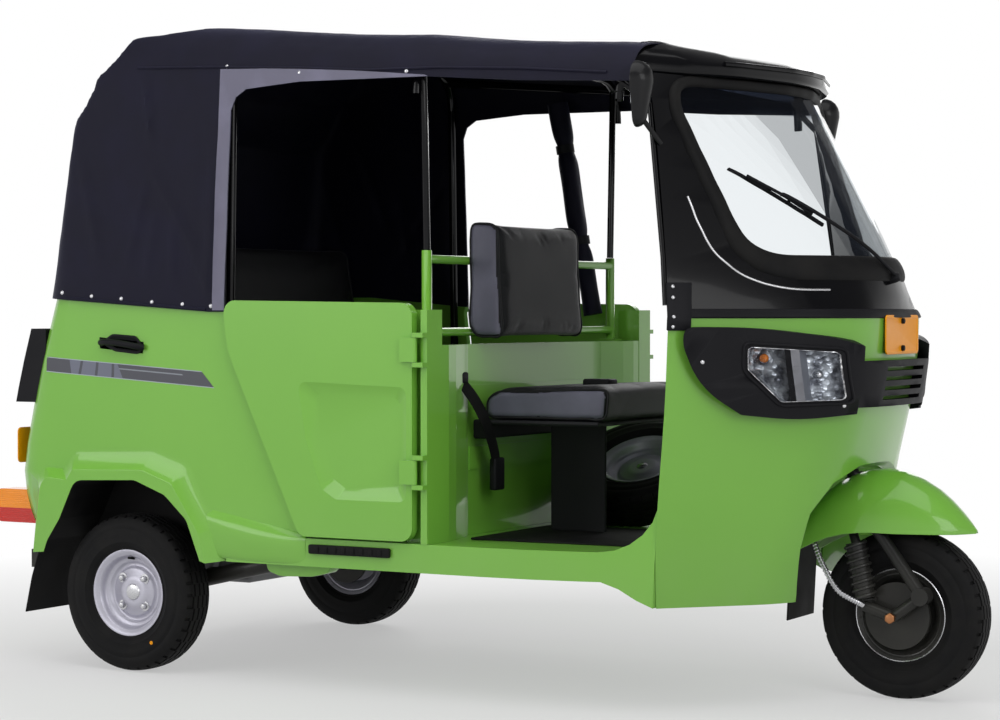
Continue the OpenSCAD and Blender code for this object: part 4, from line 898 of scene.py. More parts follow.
def makeRim(name, centre, axis, node):
    body = bodyOf[node]
    rim = settle(revolve(rimProfile, centre, axis, 96), name, body, "rim_silver", angle=50, replaces=(node,))
    axis = Vector(axis)
    side, up = Vector((1, 0, 0)), Vector((0, 0, 1))
    parts = []
    for quarter in range(4):
        turn = math.radians(45 + 90 * quarter)
        spot = centre + (side * math.cos(turn) + up * math.sin(turn)) * rimParts["nutCircle"] + axis * 0.0205
        parts.append(bolt(spot, axis, rimParts["nutRadius"], rimParts["nutHeight"]))
        parts.append(revolve([(0.014, 0.0), (0.0135, 0.0025), (0.0085, 0.003), (0.0085, 0.0)], spot - axis * 0.0055, axis, 24, up))
    cap = revolve([(0.0, 0.026), (0.012, 0.0255), (0.020, 0.0235), (0.0225, 0.0205), (0.0225, 0.0195), (0.0, 0.0195)], centre, axis, 32)
    parts.append(cap)
    settle(joinAll(parts), name + "Nuts", body, "rim_silver", steel, angle=35)
    stem = tube([centre + up * 0.090 + axis * 0.014, centre + up * 0.092 + axis * 0.026, centre + up * 0.094 + axis * 0.040], 0.0035)
    settle(stem, name + "Valve", body, "rubber_black", angle=50)
    return rim


makeRim("rearRimRight", wheelPlaces["rearTyreRight"][0], (0, -1, 0), "rear_rim_right")
makeRim("rearRimLeft", wheelPlaces["rearTyreLeft"][0], (0, 1, 0), "rear_rim_left")

# front wheel: black rim with a bright edge; its coil springs are made with the running gear
frontRim = dressNode("front_rim", "frontRim", 0.0015)
edge = joinAll([revolve([(0.1165, s * 0.0405), (0.1176, s * 0.0433), (0.1160, s * 0.0444), (0.1145, s * 0.0436)], frontAxle, (0, 1, 0), 96)
                for s in (-1, 1)])
settle(edge, "frontRimEdge", "front_wheel", "rim_black", steel, angle=50)
print("wheels:", 3)

# small tools for pieces that lie on the panels
def gridSheet(name, rows, closed=False):  # a sheet through rows of points, all of the same length
    if closed:
        rows = rows + [rows[0]]
    across, down = len(rows[0]), len(rows)
    clearSelection()
    bpy.ops.mesh.primitive_grid_add(x_subdivisions=across - 1, y_subdivisions=down - 1, size=1)
    obj = bpy.context.object
    obj.name = name
    for vertex, point in zip(obj.data.vertices, [p for row in rows for p in row]):
        vertex.co = point
    obj.data.update()
    if closed:
        edit(obj, lambda: bpy.ops.mesh.remove_doubles(threshold=1e-6))
    return obj


def faceOut(obj, target):  # turns the sheet's faces towards a point outside it
    outside = sum((Vector(target) - f.center).dot(f.normal) for f in obj.data.polygons)
    if outside < 0:
        edit(obj, lambda: bpy.ops.mesh.flip_normals())


def onSide(node, x, z, side, out=0.0):  # a point on a node's outer side, at this x and z
    place, normal = hitNode(node, at(x, side * 1500, z), (0, -side, 0))
    return place + Vector((0, side * out, 0)), normal


def onFront(node, y, z, out=0.0):
    place, normal = hitNode(node, at(3000, y, z), (-1, 0, 0))
    return place + normal * out, normal


def onRound(node, z, turn, out=0.0, middle=1540):  # a point on the nose, seen from its inside at this turn
    way = Vector((math.cos(turn), math.sin(turn), 0))
    place, normal = hitNode(node, at(middle, 0, z) + way * 2, -way)
    return place + way * out, normal


def mirrored(obj):  # the same piece on the other side of the vehicle
    twin = bpy.data.objects.new(obj.name + "Twin", obj.data.copy())
    bpy.context.scene.collection.objects.link(twin)
    twin.data.transform(Matrix.Diagonal((1, -1, 1, 1)))
    edit(twin, lambda: bpy.ops.mesh.flip_normals())
    return twin


def rounded(corners, radius, steps=6):  # a closed line of points with its corners rounded
    points = []
    for i, corner in enumerate(corners):
        a, b, c = Vector(corners[i - 1]), Vector(corner), Vector(corners[(i + 1) % len(corners)])
        p, q = b + (a - b).normalized() * radius, b + (c - b).normalized() * radius
        points += [p * (1 - t) ** 2 + 2 * b * t * (1 - t) + q * t * t for t in (s / steps for s in range(steps + 1))]
    return points


def spread(points, gap):  # a closed line with points at most this far apart
    dense = []
    for a, b in zip(points, points[1:] + points[:1]):
        steps = max(1, int((b - a).length / gap))
        dense += [a.lerp(b, s / steps) for s in range(steps)]
    return dense


def shifted(points, reach):  # the closed line moved outwards by reach(point)
    middle = sum(points, Vector((0, 0))) / len(points)
    moved = []
    for i, p in enumerate(points):
        along = (points[(i + 1) % len(points)] - points[i - 1]).normalized()
        out = Vector((along.y, -along.x))
        out = out if out.dot(p - middle) > 0 else -out
        moved.append(p + out * reach(p))
    return moved


# headlamps: bright bowls behind a clear lens, with a slanted bar between two chambers
lampForm = {
    "darkBar": [(1822, 890), (1832, 890), (1843, 745), (1833, 745)],
    "paleBar": [(1833, 890), (1849, 890), (1860, 745), (1844, 745)],
    "bulbs": [(1790, 858, 0.011), (1888, 818, 0.013)],
}
palePlastic = plasticFinish("paleGreyPlastic", (0.22, 0.22, 0.24), 0.25, 500, 0.05)
amberBulb = lampFinish("amberBulb", (0.85, 0.22, 0.02), (0.85, 0.22, 0.02), 0)


def outerFace(centre, normal):
    return normal.y * (1 if centre.y > 0 else -1) > 0.25


def makeHeadlamps():
    bowl = copyNode("headlamps")
    mark(bowl, outerFace)
    edit(bowl, lambda: bpy.ops.mesh.delete(type="FACE"), everything=False)
    modify(bowl, "SOLIDIFY", thickness=0.0015, offset=0)
    settle(bowl, "lampBowls", "body", "lamp_clear", reflector, angle=40, replaces=("headlamps",))
    lens = copyNode("headlamps")
    mark(lens, lambda c, n: not outerFace(c, n))
    edit(lens, lambda: bpy.ops.mesh.delete(type="FACE"), everything=False)
    modify(lens, "SOLIDIFY", thickness=0.0022, offset=-1)
    settle(lens, "lampLenses", "body", "lamp_clear", angle=50)
    bars = []
    for key, material in (("darkBar", mats["trim_black"]), ("paleBar", palePlastic)):
        bar = copyNode("headlamps")
        cut(bar, sideView(lampForm[key]), "INTERSECT")
        bars.append(settle(bar, key, "body", "lamp_clear", material, angle=35))
    bulbs = []
    for x, z, radius in lampForm["bulbs"]:
        for side in (-1, 1):
            place, normal = onSide("headlamps", x, z, side)
            bulbs.append(dome(place - normal * 0.016, normal, radius, 1.3))
    amber = joinAll(bulbs[:2])
    settle(amber, "turnBulbs", "body", "lamp_amber", amberBulb, angle=60)
    settle(joinAll(bulbs[2:]), "mainBulbs", "body", "lamp_clear", steel, angle=60)
    return bars


makeHeadlamps()

# rims and screws on the lamp band
bandForm = {"lensLine": [(1750, 893), (1932, 878), (1938, 751), (1812, 746), (1748, 830)], "screws": [(1672, 850), (1925, 742)]}
rims = []
for side in (-1, 1):
    line = spread([Vector(p) for p in rounded(bandForm["lensLine"], 12, 4)], 14)
    rims.append(tube([onSide("lamp_band", p.x, p.y, side, 0.0005)[0] for p in shifted(line, lambda p: 2.5)], 0.0042, True, 2))
settle(joinAll(rims), "lensRims", "body", "trim_black", angle=60)
screws = []
for side in (-1, 1):
    for x, z in bandForm["screws"]:
        place, normal = onSide("lamp_band", x, z, side)
        screws.append(dome(place, normal, 0.0055, 0.5))
settle(joinAll(screws), "bandScrews", "body", "trim_black", steel, angle=50)

# windscreen gasket, wider along the bottom, and the pressed line below it, a half-sunk tube in bright steel as a
# painted highlight on the ridge
windowLine = spread([Vector(p) for p in rounded([(-396, 1098), (396, 1098), (486, 1528), (-486, 1528)], 90, 8)], 24)
gasketRows = [(-10, 0, -0.007), (-8, 0, 0.003), (4, 0, 0.009), (0, 0.5, 0.012), (0, 0.85, 0.008), (0, 1.0, 0.001), (1, 1.0, -0.004)]
screenTop = 1542
pressLine = {"from": 1270, "inner": 235, "reach": 74, "radius": 0.0036}


def onScreen(y, z, out):  # a point on the upper shell, or on the glass where the shell is open
    for node, depth in (("cowl_upper", 0), ("windscreen", 0.006)):
        place, normal, _, _ = surfaceOf(nodes[node]).ray_cast(at(3000, y, z), Vector((-1, 0, 0)))
        if place:
            return place + normal * (out + depth)
    raise RuntimeError(f"no screen at {y}, {z}")


def gasketWidth(p):
    return 30 + 24 * max(0, min(1, (1180 - p.y) / 90)) - 12 * max(0, min(1, (p.y - 1470) / 50))


def makeGasket():
    columns = []
    for fixed, share, rise in gasketRows:
        line = shifted(windowLine, lambda p: fixed + share * gasketWidth(p))
        columns.append([onScreen(p.x, min(p.y, screenTop), rise) for p in line])
    gasket = gridSheet("gasket", [list(row) for row in zip(*columns)], closed=True)
    faceOut(gasket, at(3000, 0, 1400))
    modify(gasket, "SUBSURF", levels=1, render_levels=1)
    settle(gasket, "screenGasket", "body", "rubber_black", angle=60)
    lines = []
    for side in (-1, 1):
        line = [p for p in shifted(windowLine, lambda p: pressLine["reach"]) if p.x * side > pressLine["inner"] and p.y < pressLine["from"]]
        line.sort(key=lambda p: math.atan2(p.y - 1330, p.x * side - 120))
        lines.append(tube([onFront("cowl_upper", p.x, p.y, -0.0015)[0] for p in line], pressLine["radius"], sides=3))
    # the pressed ridge is drawn as a bright steel tube: a painted highlight on the gloss-black shell
    settle(joinAll(lines), "pressedLines", "body", "gloss_black", steel, angle=60)


makeGasket()

# belt trim between the two shells, and the riveted brackets at its ends
beltRows = [(954, 0.001), (955, 0.006), (961, 0.0085), (970, 0.0085), (976, 0.006), (977, 0.001)]
bracketForm = {"x": (3, 46), "z": (925, 1040), "thick": 0.004, "rivets": (934, 958, 1004, 1030)}


def makeBelt():
    turns = [math.radians(a) for a in range(-82, 83, 3)]
    rows = [[onRound("cowl_lower" if z < 956 else "cowl_upper", max(z, 956.5) if z >= 956 else 953, t, rise, 1560)[0]
             for z, rise in beltRows] for t in turns]
    for row in rows:
        for point, (z, _) in zip(row, beltRows):
            point.z = z / 1000
    belt = gridSheet("belt", rows)
    faceOut(belt, at(4000, 0, 966))
    modify(belt, "SUBSURF", levels=1, render_levels=1)
    return settle(belt, "beltTrim", "body", "trim_black", angle=50)


def makeBrackets():
    plates, rivets = [], []
    xs, zs = bracketForm["x"], bracketForm["z"]
    for side in (-1, 1):
        rows = []
        for z in (zs[0], 948, 953, 960, 1000, zs[1]):
            edge = 1598 - max(0, z - 955) * 0.077 - max(0, 955 - z) * 0.035
            node = "cowl_upper" if z > 955 else "cowl_lower"
            rows.append([onSide(node, edge + dx, z, side, 0.010)[0] for dx in (xs[0], 16, 30, xs[1])])
        plate = gridSheet("bracket", rows)
        faceOut(plate, at(1600, side * 4000, 980))
        modify(plate, "SOLIDIFY", thickness=bracketForm["thick"] + 0.006, offset=-1)
        modify(plate, "BEVEL", width=0.0025, segments=2, limit_method="ANGLE")
        plates.append(plate)
        for z in bracketForm["rivets"]:
            edge = 1598 - max(0, z - 955) * 0.077 - max(0, 955 - z) * 0.035
            node = "cowl_upper" if z > 955 else "cowl_lower"
            place, normal = onSide(node, edge + 13, z, side, 0.010)
            rivets.append(dome(place, normal, 0.0048, 0.6))
    settle(joinAll(plates), "pillarBrackets", "body", "trim_black", angle=40)
    settle(joinAll(rivets), "pillarRivets", "body", "trim_black", steel, angle=50)


makeBelt()
makeBrackets()

# wiper: a pivot, a bent arm and a blade with its claws
wiperForm = {"foot": (-12, 1052), "knee": (-130, 1126), "blade": ((-205, 1178), (-394, 1314)), "claws": (0.18, 0.4, 0.6, 0.82)}


def bladeSpot(share, out):
    (y1, z1), (y2, z2) = wiperForm["blade"]
    return onFront("windscreen", y1 + (y2 - y1) * share, z1 + (z2 - z1) * share, out)[0]


def makeWiper():
    parts = []
    place, normal = onFront("cowl_upper", *wiperForm["foot"])
    parts.append(revolve([(0, 0.026), (0.008, 0.0255), (0.011, 0.022), (0.0125, 0.012), (0.0125, -0.004), (0, -0.004)], place, normal, 20))
    knee = onScreen(*wiperForm["knee"], 0.026)
    parts.append(tube([place + normal * 0.019, knee, bladeSpot(0.48, 0.034), bladeSpot(0.5, 0.028)], 0.0048, sides=3))
    parts.append(tube([bladeSpot(s, 0.020 + 0.010 * math.sin(math.pi * s)) for s in (0.16, 0.33, 0.5, 0.67, 0.84)], 0.0042, sides=2))
    for share in wiperForm["claws"]:
        parts.append(tube([bladeSpot(share, 0.024), bladeSpot(share, 0.011)], 0.0042, sides=2, smooth=False))
    steps = [i / 16 for i in range(17)]
    section = [(-0.0015, 0.0065), (-0.004, 0.010), (-0.004, 0.016), (0.004, 0.016), (0.004, 0.010), (0.0015, 0.0065)]
    across = (bladeSpot(1, 0) - bladeSpot(0, 0)).cross(Vector((1, 0, 0))).normalized()
    blade = gridSheet("blade", [[bladeSpot(s, rise) + across * wide for wide, rise in section + section[:1]] for s in steps])
    edit(blade, lambda: bpy.ops.mesh.remove_doubles(threshold=1e-6))
    modify(blade, "SOLIDIFY", thickness=0.001)
    parts.append(blade)
    return settle(joinAll(parts), "wiperBlade", "body", "trim_black", angle=40, replaces=("wiper",))


makeWiper()

# mirror glass, plates and the visor's lip
mirrorForm = {"x": 1522.5, "y": 602, "line": [(-24, 1448), (-31, 1490), (-30, 1524), (-16, 1551), (8, 1556), (26, 1540), (31, 1508), (28, 1468), (14, 1440), (-8, 1436)]}
glasses = []
for side in (-1, 1):
    line = [at(mirrorForm["x"], side * (mirrorForm["y"] + dy), z) for dy, z in mirrorForm["line"]]
    glasses.append(prism("glass", line, (0.003, 0, 0)))
settle(joinAll(glasses), "mirrorGlass", "body", "rim_silver", mirrorGlass, angle=30)

plateForm = {"half": 118, "height": 98, "round": 14, "front": (1973.6, 0, 864), "rear": (-387.8, -472, 552)}


def makePlate(place, way):
    x, y, z = place
    half, tall = plateForm["half"], plateForm["height"]
    line = rounded([(-half, 0), (half, 0), (half, tall), (-half, tall)], plateForm["round"], 5)
    plate = prism("plate", [at(x, y + way * p.x, z + p.y) for p in line], (-way * 0.0034, 0, 0))
    mark(plate, lambda c, n: n.x * way > 0.9)
    edit(plate, lambda: bpy.ops.mesh.inset(thickness=0.007), lambda: bpy.ops.mesh.inset(thickness=0.0025, depth=-0.0015), everything=False)
    modify(plate, "BEVEL", width=0.0008, segments=2, limit_method="ANGLE")
    heads = [bolt(at(x, y, z + dz) + Vector((way * 0.001, 0, 0)), (way, 0, 0), 0.0075, 0.008) for dz in (15, tall - 15)]
    return plate, heads


plateParts = [makePlate(plateForm["front"], 1), makePlate(plateForm["rear"], -1)]
settle(joinAll([p for p, _ in plateParts]), "numberPlates", "body", "plate_yellow", angle=30, replaces=("number_plates",))
settle(joinAll([h for _, heads in plateParts for h in heads]), "plateBolts", "body", "trim_black", angle=35)
lip = [onRound("visor", 1577, math.radians(a), 0.002, 1440)[0] for a in range(-60, 61, 4)]
settle(tube(lip, 0.0065, sides=3), "visorLip", "body", "gloss_black", angle=60)
print("front pieces done")

# stripe on the rear quarters
stripeForm = {"rear": ((-254, 848), (-254, 807)), "front": ((270, 814), (312, 770)), "steps": 40, "rows": 4, "out": 0.0007}


def makeStripe(side):
    (x1, z1), (x2, z2) = stripeForm["rear"]
    (x3, z3), (x4, z4) = stripeForm["front"]
    node = "quarter_right" if side < 0 else "quarter_left"
    grid, places = [], []
    for i in range(stripeForm["steps"] + 1):
        u = i / stripeForm["steps"]
        row = []
        for j in range(stripeForm["rows"] + 1):
            v = j / stripeForm["rows"]
            x = (x2 + (x4 - x2) * u) * (1 - v) + (x1 + (x3 - x1) * u) * v
            z = (z2 + (z4 - z2) * u) * (1 - v) + (z1 + (z3 - z1) * u) * v
            row.append(onSide(node, x, z, side, stripeForm["out"])[0])
            places.append((u, v))
        grid.append(row)
    stripe = gridSheet("stripe", grid)
    layer = stripe.data.uv_layers.new(name="stripe")
    for loop in stripe.data.loops:
        layer.data[loop.index].uv = places[loop.vertex_index]
    faceOut(stripe, at(0, side * 4000, 800))
    return stripe


settle(joinAll([makeStripe(-1), makeStripe(1)]), "sideStripes", "body", "trim_black", stripeFilm, angle=60)

# grips: a shallow dark pocket with a bar across it
gripForm = {"pocket": [(-62, 887), (-22, 911), (56, 906), (86, 874), (64, 857), (-14, 864)], "round": 9,
            "bar": [(-60, 887, 4), (-46, 889, 17), (-10, 889, 25), (36, 884, 25), (70, 878, 17), (84, 875, 4)]}
pockets, bars = [], []
for side in (-1, 1):
    node = "quarter_right" if side < 0 else "quarter_left"
    face = onSide(node, 0, 880, side)[0].y
    line = [Vector((at(p.x, 0, p.y).x, face, p.y / 1000)) for p in rounded(gripForm["pocket"], gripForm["round"], 5)]
    pocket = prism("pocket", line, (0, side * 0.004, 0))
    mark(pocket, lambda c, n: n.y * side > 0.9)
    edit(pocket, lambda: bpy.ops.mesh.inset(thickness=0.006), lambda: bpy.ops.mesh.inset(thickness=0.003, depth=-0.003), everything=False)
    modify(pocket, "BEVEL", width=0.0012, segments=2, limit_method="ANGLE")
    pockets.append(pocket)
    bars.append(tube([Vector((at(x, 0, z).x, face + side * out / 1000, z / 1000)) for x, z, out in gripForm["bar"]], 0.0085, sides=4))
settle(joinAll(pockets + bars), "quarterGrips", "body", slotOf["quarter_grips"], mats["trim_black"], angle=45, replaces=("quarter_grips",))

# ribbed step pads
padForm = {"x": (615, 858), "z": (352, 376), "y": 636.3, "out": 10, "rib": 2.4, "gap": 27}
pads3 = []
for side in (-1, 1):
    (x1, x2), (z1, z2), y, out = padForm["x"], padForm["z"], padForm["y"], padForm["out"]
    line = rounded([(x1, z1), (x2, z1), (x2, z2), (x1, z2)], 6, 4)
    slab = prism("slab", [at(p.x, side * y, p.y) for p in line], (0, side * out / 1000, 0))
    modify(slab, "BEVEL", width=0.002, segments=2, limit_method="ANGLE")
    pads3.append(slab)
    for k in range(8):
        x = x1 + 20 + k * padForm["gap"]
        rib = prism("rib", [at(x, side * (y + out - 1), z1 + 4), at(x + 12, side * (y + out - 1), z1 + 4),
                            at(x + 12, side * (y + out - 1), z2 - 4), at(x, side * (y + out - 1), z2 - 4)],
                    (0, side * (padForm["rib"] + 1) / 1000, 0))
        modify(rib, "BEVEL", width=0.001, segments=2, limit_method="ANGLE")
        pads3.append(rib)
settle(joinAll(pads3), "stepPads", "body", "rubber_black", angle=40, replaces=("step_pads",))

# lower ledge that runs forward from the wheel arch to the step pad
ledgeForm = [(286, 452, 440, 332), (360, 440, 418, 322), (450, 423, 402, 319), (540, 407, 394, 318), (600, 397, 391, 318)]


def makeLedge(side):
    node = "quarter_right" if side < 0 else "quarter_left"
    face = onSide(node, 330, 700, side)[0].y
    rows = []
    for x, top, shoulder, low in ledgeForm:
        fade = 1 if x < 580 else 0.5
        rows.append([Vector((at(x, 0, 0).x, face + side * out * fade / 1000, z / 1000)) for z, out in
                     ((top + 2, -2), (top - 5, 4), (shoulder, 13), (shoulder - 16, 15), ((shoulder + low) / 2, 14), (low + 4, 10), (low, 2))])
    ledge = gridSheet("ledge", rows)
    faceOut(ledge, at(400, side * 4000, 380))
    modify(ledge, "SUBSURF", levels=2, render_levels=2)
    modify(ledge, "SOLIDIFY", thickness=0.002, offset=-1)
    return ledge


settle(joinAll([makeLedge(-1), makeLedge(1)]), "lowerLedges", "body", "body_green", angle=50)

# seams, hem and fasteners of the canopy
seamForm = {"welt": [(42, 1622), (304, 1612), (583, 1596), (768, 1582), (970, 1579), (1200, 1566), (1440, 1545)],
            "hem": [(-178, 1003), (-60, 995), (60, 987), (180, 979), (290, 972)], "edge": [(346, 976), (346, 1150), (346, 1320), (346, 1480)],
            "snaps": [(-190, 1022), (-88, 1012), (12, 1005), (114, 996), (214, 990), (306, 985)], "rivets": [(330, 1612), (560, 1585), (880, 1574)]}


def onCloth(x, z, side, out=0.0):
    return onSide(canopy.name, x, z, side, out)[0]


def route(points, gap=40):
    dense = []
    for (x1, z1), (x2, z2) in zip(points, points[1:]):
        steps = max(1, int(abs(x2 - x1) + abs(z2 - z1)) // gap)
        dense += [(x1 + (x2 - x1) * s / steps, z1 + (z2 - z1) * s / steps) for s in range(steps)]
    return dense + [points[-1]]


welts, heads = [], []
for side in (-1, 1):
    welts.append(tube([onCloth(x, z, side, 0.001) for x, z in route(seamForm["welt"])], 0.0032, sides=2))
    welts.append(tube([onCloth(x, z + 4, side, 0.0005) for x, z in route(seamForm["hem"])], 0.004, sides=2))
    for x, z in seamForm["snaps"] + seamForm["rivets"]:
        heads.append(dome(onCloth(x, z, side), (0, side, 0), 0.006, 0.55))
settle(joinAll(welts), "canopySeams", "body", "canopy_vinyl", angle=60)
settle(joinAll(heads), "canopySnaps", "body", "canopy_vinyl", steel, angle=50)

# rolled side curtain on the left, tied by two straps
rollForm = {"line": [(706, 546, 1585), (722, 552, 1480), (745, 559, 1350), (768, 563, 1210), (792, 567, 1080), (812, 570, 962)],
            "radius": 0.029, "straps": (1450, 1180), "folds": 7}


def rollMiddle(z):  # middle of the roll at this height
    line = rollForm["line"]
    for (x1, y1, z1), (x2, y2, z2) in zip(line, line[1:]):
        if z >= z2 or (x2, y2, z2) == line[-1]:
            t = (z1 - z) / (z1 - z2)
            return at(x1 + (x2 - x1) * t, y1 + (y2 - y1) * t, z)


roll = tube([at(*p) for p in rollForm["line"]], rollForm["radius"], sides=8)
edit(roll, lambda: bpy.ops.mesh.subdivide(number_cuts=1))
for vertex in roll.data.vertices:
    turn = noise.noise(Vector((vertex.co.x * 30, vertex.co.y * 30, vertex.co.z * 5)))
    pinch = sum(math.exp(-((vertex.co.z * 1000 - z) / 26) ** 2) for z in rollForm["straps"])
    middle = rollMiddle(vertex.co.z * 1000)
    vertex.co = middle + (vertex.co - middle) * (1 + 0.22 * turn - 0.25 * pinch)
settle(roll, "curtainRoll", "body", "canopy_vinyl", angle=60, replaces=("curtain_roll",))
straps = []
for z in rollForm["straps"]:
    middle = rollMiddle(z)
    straps.append(revolve([(0.025, -0.012), (0.027, -0.012), (0.027, 0.012), (0.025, 0.012)], middle, (0.16, 0.03, -1), 24, (1, 0, 0)))
settle(joinAll(straps), "curtainStraps", "body", "canopy_vinyl", mats["trim_black"], angle=40)

# driver's belt: a webbing strap from the partition down to its buckle
beltForm = {"line": [(932, -416, 792), (948, -408, 770), (966, -392, 738), (978, -368, 690), (982, -342, 640), (980, -318, 600), (974, -300, 566)],
            "half": 0.021, "thick": 0.0022}


def makeStrap():
    points = [at(*p) for p in beltForm["line"]]
    rows = []
    for i, p in enumerate(points):
        along = (points[min(i + 1, len(points) - 1)] - points[max(i - 1, 0)]).normalized()
        across = along.cross(Vector((1, 0, 0))).normalized()
        rows.append([p - across * beltForm["half"], p, p + across * beltForm["half"]])
    strap = gridSheet("strap", rows)
    modify(strap, "SUBSURF", levels=2, render_levels=2)
    modify(strap, "SOLIDIFY", thickness=beltForm["thick"], offset=0)
    settle(strap, "beltStrap", "body", "seat_vinyl", mats["rubber_black"], angle=50)
    return strap


makeStrap()
buckles = []
for place, size in ((at(974, -298, 548), (0.020, 0.052, 0.085)), (at(930, -416, 800), (0.024, 0.056, 0.030)), (at(1200, -151, 782), (0.080, 0.050, 0.026))):
    clearSelection()
    bpy.ops.mesh.primitive_cube_add(size=1, location=place, scale=size)
    block = bpy.context.object
    modify(block, "BEVEL", width=0.006, segments=3, limit_method="ANGLE")
    buckles.append(block)
settle(joinAll(buckles), "beltBuckles", "body", "trim_black", angle=40)

# hand levers and ribbed grips on the bar
barForm = {"tilt": math.radians(25), "along": 920, "grip": ((-45, 190), (-60, 300))}


def barPoint(r, y, a):
    t = barForm["tilt"]
    return at(2005 + r * math.cos(t) - a * math.sin(t), y, 212.5 + a * math.cos(t) + r * math.sin(t))


grips, levers = [], []
for s in (-1, 1):
    (r1, y1), (r2, y2) = barForm["grip"]
    a, b = barPoint(r1, s * y1, barForm["along"]), barPoint(r2, s * y2, barForm["along"])
    axis = (b - a).normalized()
    length = (b - a).length
    ribs = [(0.0, 0.0), (0.0188, 0.0)]
    for k in range(12):
        u = 0.004 + k * (length - 0.006) / 12
        ribs += [(0.0188, u), (0.0176, u + 0.002), (0.0176, u + 0.005), (0.0188, u + 0.007)]
    grips.append(revolve(ribs + [(0.0188, length), (0.010, length + 0.004), (0.0, length + 0.004)], a, axis, 28))
    levers.append(tube([barPoint(-22, s * 150, 915), barPoint(10, s * 180, 912), barPoint(14, s * 240, 906), barPoint(4, s * 292, 902)], 0.0055, sides=3))
settle(joinAll(grips), "barGrips", bodyOf["steering_column"], "rubber_black", angle=40)
settle(joinAll(levers), "handLevers", bodyOf["steering_column"], "rim_black", steel, angle=50)

# handle on the tail lid
spot = hitNode("tail_lid", at(-900, 0, 588), Vector((1, 0, 0)))[0]
ring = tube([spot + Vector(p) for p in ((0.004, -0.055, 0), (-0.020, -0.048, 0), (-0.026, -0.030, 0), (-0.026, 0.030, 0), (-0.020, 0.048, 0), (0.004, 0.055, 0))],
            0.006, sides=4)
settle(ring, "lidHandle", bodyOf["tail_lid"], slotOf["tail_lid"], mats["trim_black"], angle=50)
print("body pieces done")

# running gear: coils, hose, engine, spare wheel and exhaust
coilPlaces = {"front": ((1913, 92, 250), (1883, 88, 393), 0.0262, 0.0044, 8, "front_fork"),
              "rear": ((72, 415, 290), (88, 415, 585), 0.0300, 0.0058, 9, "rear_suspension")}


def coil(a, b, radius, wire, turns):
    axis = (b - a).normalized()
    side = axis.orthogonal().normalized()
    up = axis.cross(side)
    points = []
    for i in range(turns * 10 + 1):
        turn = 2 * math.pi * i / 10
        points.append(a.lerp(b, i / (turns * 10)) + (side * math.cos(turn) + up * math.sin(turn)) * radius)
    return tube(points, wire, sides=2)


for name, (low, high, radius, wire, turns, node) in coilPlaces.items():
    pair = [coil(at(low[0], s * low[1], low[2]), at(high[0], s * high[1], high[2]), radius, wire, turns) for s in (-1, 1)]
    settle(joinAll(pair), name + "Coils", bodyOf[node], "rim_black", angle=60)

# corrugated sleeve on the brake hose
hoseLine = [(1752, -70, 432), (1764, -84, 412), (1781, -102, 386), (1797, -116, 358), (1816, -124, 328),
            (1838, -128, 294), (1860, -128, 270), (1884, -122, 256), (1903, -114, 246), (1911, -106.5, 240)]
axleHalf = 0.112


def smoothLine(points, steps):  # a curve through all the points
    ends = [points[0] * 2 - points[1]] + points + [points[-1] * 2 - points[-2]]
    line = []
    for p, a, b, q in zip(ends, ends[1:], ends[2:], ends[3:]):
        for t in (k / steps for k in range(steps)):
            line.append(0.5 * (2 * a + (b - p) * t + (2 * p - 5 * a + 4 * b - q) * t ** 2 + (3 * a - p - 3 * b + q) * t ** 3))
    return line + [points[-1]]


spots = smoothLine([at(*p) for p in hoseLine], 4)
hose = settle(tube(spots, 0.006, sides=3, smooth=False), "brakeHose", bodyOf["brake_cable"], slotOf["brake_cable"], steel,
              angle=60, replaces=("brake_cable",))
rings = []
for a, b in zip(spots, spots[1:]):
    rings.append(revolve([(0.0055, -0.0030), (0.0076, -0.0014), (0.0076, 0.0014), (0.0055, 0.0030)], (a + b) / 2, b - a, 14,
                         (0, 1, 0) if abs((b - a).normalized().y) < 0.9 else (0, 0, 1)))
rings = settle(joinAll(rings), "hoseRings", bodyOf["brake_cable"], slotOf["brake_cable"], steel, angle=50)
hoseLength = sum((b - a).length for a, b in zip(spots, spots[1:]))
print("brake hose:", round(hoseLength, 3))

# spare wheel under the driver's seat
spare = {"centre": at(1140.5, 233.7, 528.7), "axis": Vector((0, -0.5, 0.8660))}
makeTyre("spareTyre", spare["centre"], spare["axis"], "spare_wheel", "body")
settle(revolve(rimProfile, spare["centre"], spare["axis"], 96), "spareRim", "body", "rim_silver", angle=50)
cap = revolve([(0.0, 0.024), (0.013, 0.0235), (0.0165, 0.0205), (0.0165, 0.0195), (0.0, 0.0195)], spare["centre"], spare["axis"], 32)
settle(cap, "spareCap", "body", "rim_silver", steel, angle=40)

# engine: cooling fins and a round cover on the plain block
engineForm = {"x": (-200, 120), "y": 195, "fins": 8, "from": 350, "gap": 24, "thick": 6, "out": 5}
dressNode("engine_block", "engineBlock", 0.014)
fins = []
for k in range(engineForm["fins"]):
    (x1, x2), y, out = engineForm["x"], engineForm["y"], engineForm["out"]
    z = engineForm["from"] + k * engineForm["gap"]
    line = rounded([(x1 - out, -y - out), (x2 + out, -y - out), (x2 + out, y + out), (x1 - out, y + out)], 16, 4)
    fins.append(prism("fin", [at(p.x, p.y, z) for p in line], (0, 0, engineForm["thick"] / 1000)))
for s in (-1, 1):
    fins.append(revolve([(0.0, 0.022), (0.060, 0.022), (0.072, 0.016), (0.078, 0.0), (0.0, 0.0)], at(-60, s * 195, 285), (0, s, 0), 40))
    for k in range(6):
        turn = math.pi * k / 3
        fins.append(bolt(at(-60 + 66 * math.cos(turn), s * 213, 285 + 66 * math.sin(turn)), (0, s, 0), 0.006, 0.012))
settle(joinAll(fins), "engineFins", "body", "engine_grey", angle=35)

